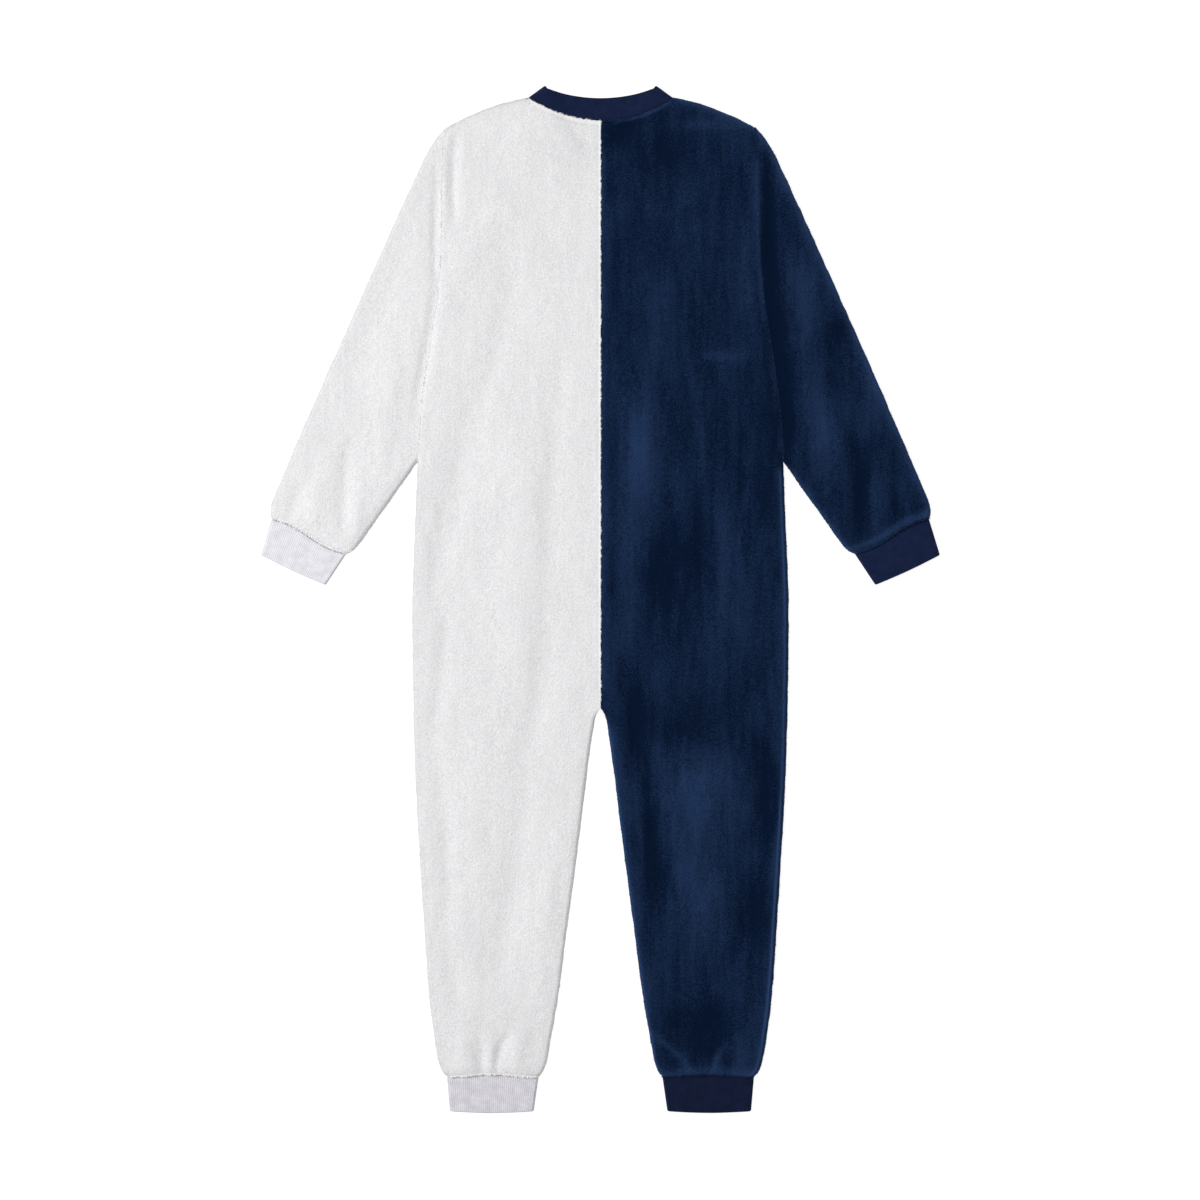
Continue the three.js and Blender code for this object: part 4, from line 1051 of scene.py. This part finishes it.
def box_object(name, centre, size, corner):
    """A box in mm with rounded edges."""
    bm = bmesh.new()
    bmesh.ops.create_cube(bm, size=1)
    for vert in bm.verts:
        vert.co = [(c + part * s) * MM for c, part, s in zip(centre, vert.co, size)]
    bmesh.ops.bevel(
        bm,
        geom=bm.edges[:],
        offset=corner * MM,
        segments=2,
        profile=0.5,
        affect="EDGES",
        material=-1,
        clamp_overlap=True,
    )
    for face in bm.faces:
        face.smooth = True
    mesh = bpy.data.meshes.new(name)
    bm.to_mesh(mesh)
    bm.free()
    return link_object(name, mesh)


def zip_teeth_object(name, side):
    """One side's moulded teeth. Each reaches past the middle, between two of the other side's."""
    root, reach = TAPE["columns"][0] - TOOTH["clear"], TOOTH["reach"]
    start = ZIP_END_Y + TOOTH["first"] + (TOOTH["pitch"] / 2 if side > 0 else 0)
    centre = (side * (root - reach) / 2, start, CHAIN_MIDDLE)
    teeth = box_object(name, centre, (root + reach, TOOTH["width"], CHAIN_HEIGHT), TOOTH["corner"])
    row = teeth.modifiers.new("row", "ARRAY")
    row.use_relative_offset = False
    row.use_constant_offset = True
    row.constant_offset_displace = (0, TOOTH["pitch"] * MM, 0)
    row.count = int((SLIDER_MIDDLE_Y - start) / TOOTH["pitch"])
    return teeth


def zip_stop_object(name):
    centre = (0, ZIP_END_Y - STOP["below"], CHAIN_MIDDLE)
    size = (STOP["width"], STOP["length"], CHAIN_HEIGHT + STOP["proud"])
    return box_object(name, centre, size, STOP["corner"])


def thread_ends_object(name):
    """The clipped ends of the neck seam's thread, by the left shoulder."""
    threads = THREAD_ENDS
    rng = np.random.default_rng(threads["seed"])
    shape = (threads["count"], 3)
    roots = threads["place"] + rng.normal(0, 1, shape) * threads["spread"]
    leans = unit(rng.normal(0, 1, shape) * [1, 1, threads["rise"]])
    lengths = rng.uniform(*threads["lengths"], threads["count"])
    return tufts_object(name, roots, leans, lengths, threads["width"], threads["seed"])


# Materials
def linear(hex_colour):
    """A linear RGBA colour from an sRGB hex value."""
    channels = [int(hex_colour[i : i + 2], 16) / 255 for i in (1, 3, 5)]
    return [c / 12.92 if c <= 0.04045 else ((c + 0.055) / 1.055) ** 2.4 for c in channels] + [1.0]


def add(tree, kind, inputs=None, **settings):
    """Adds a node with its settings. An input's value is a number, a colour or another node's output."""
    node = tree.nodes.new(kind)
    for key, value in settings.items():
        setattr(node, key, value)
    for key, value in (inputs or {}).items():
        if isinstance(value, bpy.types.NodeSocket):
            tree.links.new(value, node.inputs[key])
        else:
            node.inputs[key].default_value = value
    return node


def new_material(name):
    material = bpy.data.materials.new(name)
    material.use_nodes = True
    tree = material.node_tree
    tree.nodes.clear()
    return material, tree


def object_place(tree):
    return add(tree, "ShaderNodeTexCoord").outputs["Object"]


def attribute(tree, name, output):
    return add(tree, "ShaderNodeAttribute", attribute_name=name).outputs[output]


def math_node(tree, operation, a, b=0.0, c=0.0):
    return add(tree, "ShaderNodeMath", {0: a, 1: b, 2: c}, operation=operation).outputs[0]


def weighted(tree, value, weight):
    return math_node(tree, "MULTIPLY", value, weight)


def total(tree, value, *more):
    for part in more:
        value = math_node(tree, "ADD", value, part)
    return value


def ramp(tree, value, start, end, low=0.0, high=1.0):
    values = {"Value": value, "From Min": start, "From Max": end, "To Min": low, "To Max": high}
    return add(tree, "ShaderNodeMapRange", values).outputs["Result"]


def mixed(tree, factor, a, b):
    """A blend of two colours. A colour mix node's factor is input 0 and its colours are inputs 6 and 7."""
    return add(tree, "ShaderNodeMix", {0: factor, 6: a, 7: b}, data_type="RGBA").outputs[2]


def noise(tree, place, size_mm, stretch=(1, 1, 1), detail=2.0, roughness=0.5):
    """Noise whose blotches are about one size across, longer along an axis whose stretch is above 1."""
    scale = [1 / (size_mm * MM * s) for s in stretch]
    mapping = add(tree, "ShaderNodeMapping", {"Vector": place, "Scale": scale})
    values = {"Vector": mapping.outputs["Vector"], "Scale": 1.0, "Detail": detail, "Roughness": roughness}
    return add(tree, "ShaderNodeTexNoise", values).outputs["Fac"]


def bumps(tree, height, strength, depth_mm):
    values = {"Height": height, "Strength": strength, "Distance": depth_mm * MM}
    return add(tree, "ShaderNodeBump", values).outputs["Normal"]


def soft(sheen, roughness, tint="#FFFFFF"):
    """Inputs of a fibre's shader: hardly any gloss, and fibre ends that pale where seen edge on."""
    return {
        "Specular IOR Level": 0.1,
        "Sheen Weight": sheen,
        "Sheen Roughness": roughness,
        "Sheen Tint": linear(tint),
    }


def surface(tree, colour, roughness, normal, more):
    """The material's shader. more gives further inputs by name."""
    values = {"Base Color": colour, "Roughness": roughness, "Normal": normal} | more
    shader = add(tree, "ShaderNodeBsdfPrincipled", values)
    add(tree, "ShaderNodeOutputMaterial", {"Surface": shader.outputs["BSDF"]})


def side_facing(tree):
    """How far the surface faces sideways: 0 on top or underneath, 1 on the garment's rounded sides."""
    normal = add(tree, "ShaderNodeTexCoord").outputs["Normal"]
    upward = add(tree, "ShaderNodeSeparateXYZ", {"Vector": normal}).outputs["Z"]
    return ramp(tree, math_node(tree, "ABSOLUTE", upward), 0.95, 0.3)


def plush_fleece(name, pile, level, painted_side_light=0):
    """Brushed polyester coral fleece. Its deep pile scatters light, so it has no gloss, but pales where seen
    edge on. Pile stroked one way is darker (shade) than pile stroked the other (light), which leaves soft
    patches and streaks. level is the tone of level pile, painted_side_light is painted shade (below 0) or
    painted light (above 0) added over the garment's rounded sides, nap_and_painted_light weighs the patches
    and the stored tone, which also holds painted light and shade along edges, seams and folds, and grain
    is how much the single tufts differ."""
    shade, light, nap_and_painted_light, grain, sheen, tint = pile
    material, tree = new_material(name)
    place = object_place(tree)
    clumps = noise(tree, place, 2.6, (1, 1.2, 1), 3.0, 0.65)
    fine = noise(tree, place, 1.4, (1, 1, 1), 2.0, 0.6)
    parts = [
        (noise(tree, place, 42, (1, 1.8, 1), 3.0, 0.6), 0.9 * nap_and_painted_light),
        (noise(tree, place, 9, (1, 7, 1)), 0.7 * nap_and_painted_light),
        (noise(tree, place, 3.5, (1, 10, 1)), 0.12 * grain),
        (clumps, 0.3 * grain),
        (fine, 0.8 * grain),
    ]
    # The stored tone holds the stroked nap with painted light and painted shade along edges, seams and
    # folds.
    tone = math_node(tree, "MULTIPLY_ADD", attribute(tree, "tone", "Fac"), nap_and_painted_light, level)
    # Painted shade on the garment's rounded sides where the weight is below 0, painted light where above 0.
    tone = math_node(tree, "MULTIPLY_ADD", side_facing(tree), painted_side_light, tone)
    tone = total(tree, tone, *(ramp(tree, part, 0, 1, -weight, weight) for part, weight in parts))
    colour = mixed(tree, tone, linear(shade), linear(light))
    height = total(tree, weighted(tree, clumps, 0.7), weighted(tree, fine, 0.5))
    surface(tree, colour, 1.0, bumps(tree, height, 1.0, 0.8), soft(sheen, 0.45, tint))
    return material


def rib_knit(name, painted_valley_shade, ridge, painted_side_light):
    """Polyester and elastane rib knit, 1 by 1. Each rib is a column of small stitches, so its crest looks
    beaded, and the valley between two ribs is painted darker, as painted shade."""
    material, tree = new_material(name)
    place = attribute(tree, "cloth", "Vector")
    parts = add(tree, "ShaderNodeSeparateXYZ", {"Vector": place})
    rib_turns, stitch_turns = (2 * math.pi / (size * MM) for size in (RIB_PITCH, STITCH_PITCH))
    rib = math_node(tree, "COSINE", weighted(tree, parts.outputs["X"], rib_turns))
    stitch = math_node(tree, "SINE", weighted(tree, parts.outputs["Y"], stitch_turns))
    yarn = noise(tree, place, 0.8)
    mottle = noise(tree, place, 9, (1, 1, 1), 3.0, 0.6)
    # The ribs' cosine paints the valleys between them darker: painted shade.
    tone = total(tree, weighted(tree, rib, 0.15), yarn)
    # Painted shade or painted light on the rib's rounded sides, and the stored tone, each cuff's painted
    # light or shade.
    tone = math_node(tree, "MULTIPLY_ADD", side_facing(tree), painted_side_light, tone)
    tone = total(tree, tone, ramp(tree, mottle, 0, 1, -0.4, 0.4), attribute(tree, "tone", "Fac"))
    colour = mixed(tree, ramp(tree, tone, 0.1, 0.9), linear(painted_valley_shade), linear(ridge))
    height = total(tree, weighted(tree, stitch, 0.3), yarn)
    surface(tree, colour, 0.9, bumps(tree, height, 0.7, 0.2), soft(0.02, 0.5))
    return material


def woven_tape(name, dark, light):
    """Woven polyester zip tape: a fine twill whose threads show as short slanted lines."""
    material, tree = new_material(name)
    scale = 1 / (2 * TAPE_THREAD * MM)
    wave = {"Vector": object_place(tree), "Scale": scale, "Distortion": 0.4, "Detail": 1.0}
    threads = add(tree, "ShaderNodeTexWave", wave, bands_direction="DIAGONAL").outputs["Fac"]
    shade = mixed(tree, threads, linear(dark), linear(light))
    surface(tree, shade, 0.75, bumps(tree, threads, 0.6, 0.12), {"Sheen Weight": 0.2})
    return material


def cast_surface(name, colour, metallic, marks, roughness, relief):
    """A moulded or cast surface, whose fine marks vary its gloss. relief is how strongly and how deeply
    they show, in mm."""
    material, tree = new_material(name)
    marks = noise(tree, object_place(tree), *marks)
    gloss = ramp(tree, marks, 0.3, 0.7, *roughness)
    surface(tree, linear(colour), gloss, bumps(tree, marks, *relief), {"Metallic": metallic})
    return material


# The two halves. pile lists the shade, light, nap and painted light weight, grain, sheen and tint that
# plush_fleece takes, and rib lists the valley colour (painted shade), the ridge and the side weight
# (painted shade below 0, painted light above) that rib_knit takes. The fleece's side weight paints shade
# on the white half's rounded sides; levels paint the pile at folded edges darker on the white half and
# lighter on the navy half, and the pile at seams lighter, as painted shade, painted light and highlights.
HALVES = [
    {
        "name": "left",
        "side": -1,
        "colour": "white",
        "folds": LEFT_FOLDS,
        "painted_fold_light": 0,
        "nap_and_painted_light": LEFT_NAP_AND_PAINTED_LIGHT,
        "painted_edge_light": LEFT_PAINTED_EDGE_LIGHT,
        "sleeve_painted_edge_light": LEFT_SLEEVE_PAINTED_EDGE_LIGHT,
        "centre_roll": 0.05,
        "armhole_painted_shade": -4,
        "cuff_painted_light": {"sleeve": 0.17, "leg": -0.1},
        "pile": ("#D6D6D8", "#FCFCFD", 0.14, 1, 0.05, "#FFFFFF"),
        "levels": {"fleece": 0.5, "edge": 0.1, "seam": 1.6},
        "painted_side_light": -0.7,
        "rib": ("#C4C1C8", "#F3F2F8", -0.9),
        "seed": 20,
    },
    {
        "name": "right",
        "side": 1,
        "colour": "navy",
        "folds": RIGHT_FOLDS,
        "painted_fold_light": 0.3,
        "nap_and_painted_light": RIGHT_NAP_AND_PAINTED_LIGHT,
        "painted_edge_light": RIGHT_PAINTED_EDGE_LIGHT,
        "sleeve_painted_edge_light": RIGHT_SLEEVE_PAINTED_EDGE_LIGHT,
        "centre_roll": 0.8,
        "armhole_painted_shade": 0,
        "cuff_painted_light": {"sleeve": 0, "leg": -0.3},
        "pile": ("#001029", "#283F66", 0.3, 0.7, 0.16, "#6F9BE0"),
        "levels": {"fleece": 0.17, "edge": 0.4, "seam": 0.4},
        "painted_side_light": 0,
        "rib": ("#0D162F", "#19264A", 0.1),
        "seed": 60,
    },
]

# The flat size and area of each piece as it was cut, in metres
FLAT = {
    "front": {"flat": (0.19, 0.985), "area": 0.153},
    "back": {"flat": (0.19, 0.985), "area": 0.157},
    "sleeve": {"flat": (0.22, 0.43), "area": 0.066},
    "sleeve_cuff": {"flat": (0.143, 0.037)},
    "leg_cuff": {"flat": (0.183, 0.037)},
    "neckband": {"flat": (0.4, 0.023)},
    "zip_tape": {"flat": (0.0111, 0.474)},
}

ribs = {}
for half in HALVES:
    name, side, seed, colour = half["name"], half["side"], half["seed"], half["colour"]
    pile, levels, tones = half["pile"], half["levels"], half["cuff_painted_light"]
    fleece = plush_fleece(f"{colour} plush fleece", pile, levels["fleece"], half["painted_side_light"])
    # Lighter and darker copies of the fleece: on the white half, painted shade at folded edges and a painted
    # highlight at seams; on the navy half, painted light at both.
    pile_materials = {
        "edge": plush_fleece(f"{colour} pile at folded edges", pile, levels["edge"]),
        "seam": plush_fleece(f"{colour} pile at seams", pile, levels["seam"]),
    }
    rib = rib_knit(f"{colour} rib knit", *half["rib"])
    ribs[colour] = rib

    marks = {"nap_and_painted_light": half["nap_and_painted_light"], "painted_edge_light": half["painted_edge_light"], "painted_fold_light": half["painted_fold_light"]}
    back = panel_piece(NECK_BACK, half["folds"], 0, half["centre_roll"]) | marks
    front = panel_piece(NECK_FRONT, half["folds"], CHANNEL, SEAM_ROLL["most"]) | marks
    sleeve = sleeve_piece(half["folds"]) | marks | {"painted_edge_light": half["sleeve_painted_edge_light"]}
    front_cloth = panel_object(f"fleece_front_{name}", front, side, -1, FRONT_STEP, seed)
    back_cloth = panel_object(f"fleece_back_{name}", back, side, 1, BACK_STEP, seed)
    sleeve_cloth = sleeve_object(f"fleece_sleeve_{name}", sleeve, side, BACK_STEP, seed)
    # The cuffs carry painted shade on the legs and painted light on the white sleeves.
    sleeve_cuff = cuff_object(f"rib_sleeve_cuff_{name}", sleeve_cuff_cut(), side, tones["sleeve"])
    leg_cuff = cuff_object(f"rib_leg_cuff_{name}", leg_cuff_cut(), side, tones["leg"])
    piles = pile_objects(half, {"back": back, "sleeve": sleeve}, pile_materials)

    slot = f"fleece_{colour}"
    on_front = {"rests_on": (front_cloth.name,), "with_pieces": piles["back"]}
    dress(front_cloth, fleece, slot, f"front_{name}", **FLAT["front"])
    dress(back_cloth, fleece, slot, f"back_{name}", **FLAT["back"], **on_front)
    dress(sleeve_cloth, fleece, slot, f"sleeve_{name}", **FLAT["sleeve"], with_pieces=piles["sleeve"])
    dress(sleeve_cuff, rib, f"rib_{colour}", f"sleeve_cuff_{name}", **FLAT["sleeve_cuff"])
    dress(leg_cuff, rib, f"rib_{colour}", f"leg_cuff_{name}", **FLAT["leg_cuff"])

dress(neckband_object("rib_neckband"), ribs["navy"], "rib_navy", "neckband", **FLAT["neckband"])

# Zip in the centre front, which faces the surface
tape_weave = woven_tape("navy zip tape", "#141D3A", "#2B3A66")
mould_marks = (0.6,)
nylon = cast_surface("navy nylon teeth", "#1C2750", 0.0, mould_marks, (0.35, 0.5), (0.2, 0.05))
wear = (0.5, (1, 8, 1), 3.0, 0.6)
zinc = cast_surface("satin zinc alloy", "#B9BABE", 1.0, wear, (0.28, 0.42), (0.15, 0.04))
for name, side in (("left", -1), ("right", 1)):
    tape = zip_tape_object(f"woven_zip_tape_{name}", side)
    dress(tape, tape_weave, "zip_tape", f"zip_tape_{name}", **FLAT["zip_tape"])
    attach(zip_teeth_object(f"zip_teeth_{name}", side), nylon, "zip_teeth", "zip_chain")
attach(zip_stop_object("zip_bottom_stop"), zinc, "zip_teeth", "zip_chain")
for node in ("zip_slider", "zip_pull"):
    metal_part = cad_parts[node]
    metal_part.data.materials.clear()
    metal_part.data.materials.append(zinc)

attach(thread_ends_object("thread_ends"), ribs["navy"], "rib_navy")

# Floor, light and camera
FLOOR_Z = -0.3
PHOTO_WIDTH = 1200
PHOTO_CENTRE = (-0.5, -0.5)
LENS = 85
SENSOR = 36

floor_mesh = bpy.data.meshes.new("floor")
bm = bmesh.new()
bmesh.ops.create_grid(bm, x_segments=1, y_segments=1, size=6)
bm.to_mesh(floor_mesh)
bm.free()
floor = link_object("floor", floor_mesh)
floor.location.z = FLOOR_Z * MM
floor_material, floor_tree = new_material("white light table")
floor_material.cycles.emission_sampling = "NONE"
glow = {"Emission Color": linear("#FFFFFF"), "Emission Strength": 0.8}
matt_top = {"Base Color": linear("#A0A0A0"), "Roughness": 0.9}
table_top = add(floor_tree, "ShaderNodeBsdfPrincipled", matt_top | glow)
below = add(floor_tree, "ShaderNodeNewGeometry").outputs["Backfacing"]
clear = add(floor_tree, "ShaderNodeBsdfTransparent").outputs["BSDF"]
one_sided = add(floor_tree, "ShaderNodeMixShader", {0: below, 1: table_top.outputs["BSDF"], 2: clear})
add(floor_tree, "ShaderNodeOutputMaterial", {"Surface": one_sided.outputs["Shader"]})
floor.data.materials.append(floor_material)

scene = bpy.context.scene
scene.view_settings.view_transform = "Standard"
scene.view_settings.look = "None"
world = bpy.data.worlds.new("studio")
scene.world = world
world.use_nodes = True
world.node_tree.nodes["Background"].inputs["Color"].default_value = (1, 1, 1, 1)
world.node_tree.nodes["Background"].inputs["Strength"].default_value = 0.25


def soft_light(name, azimuth, elevation, distance, size, power):
    """A square softbox aimed at the garment's middle. Azimuth 0 is at the neck end, and 90 on the left."""
    light = bpy.data.lights.new(name, "AREA")
    light.size = size
    light.energy = power
    lamp = bpy.data.objects.new(name, light)
    a, e = math.radians(azimuth), math.radians(elevation)
    place = Vector((-math.sin(a) * math.cos(e), math.cos(a) * math.cos(e), math.sin(e))) * distance
    lamp.location = place
    lamp.rotation_euler = place.to_track_quat("Z", "Y").to_euler()
    scene.collection.objects.link(lamp)


soft_light("overhead", 0, 90, 3, 2.5, 41)
soft_light("key", 78, 36, 4.5, 1.6, 120)

camera = bpy.data.cameras.new("camera")
camera.lens = LENS
camera.sensor_width = SENSOR
eye = bpy.data.objects.new("camera", camera)
height = PHOTO_WIDTH * LENS / SENSOR + LOFT / 2
eye.location = Vector((*PHOTO_CENTRE, height)) * MM
scene.collection.objects.link(eye)
scene.camera = eye
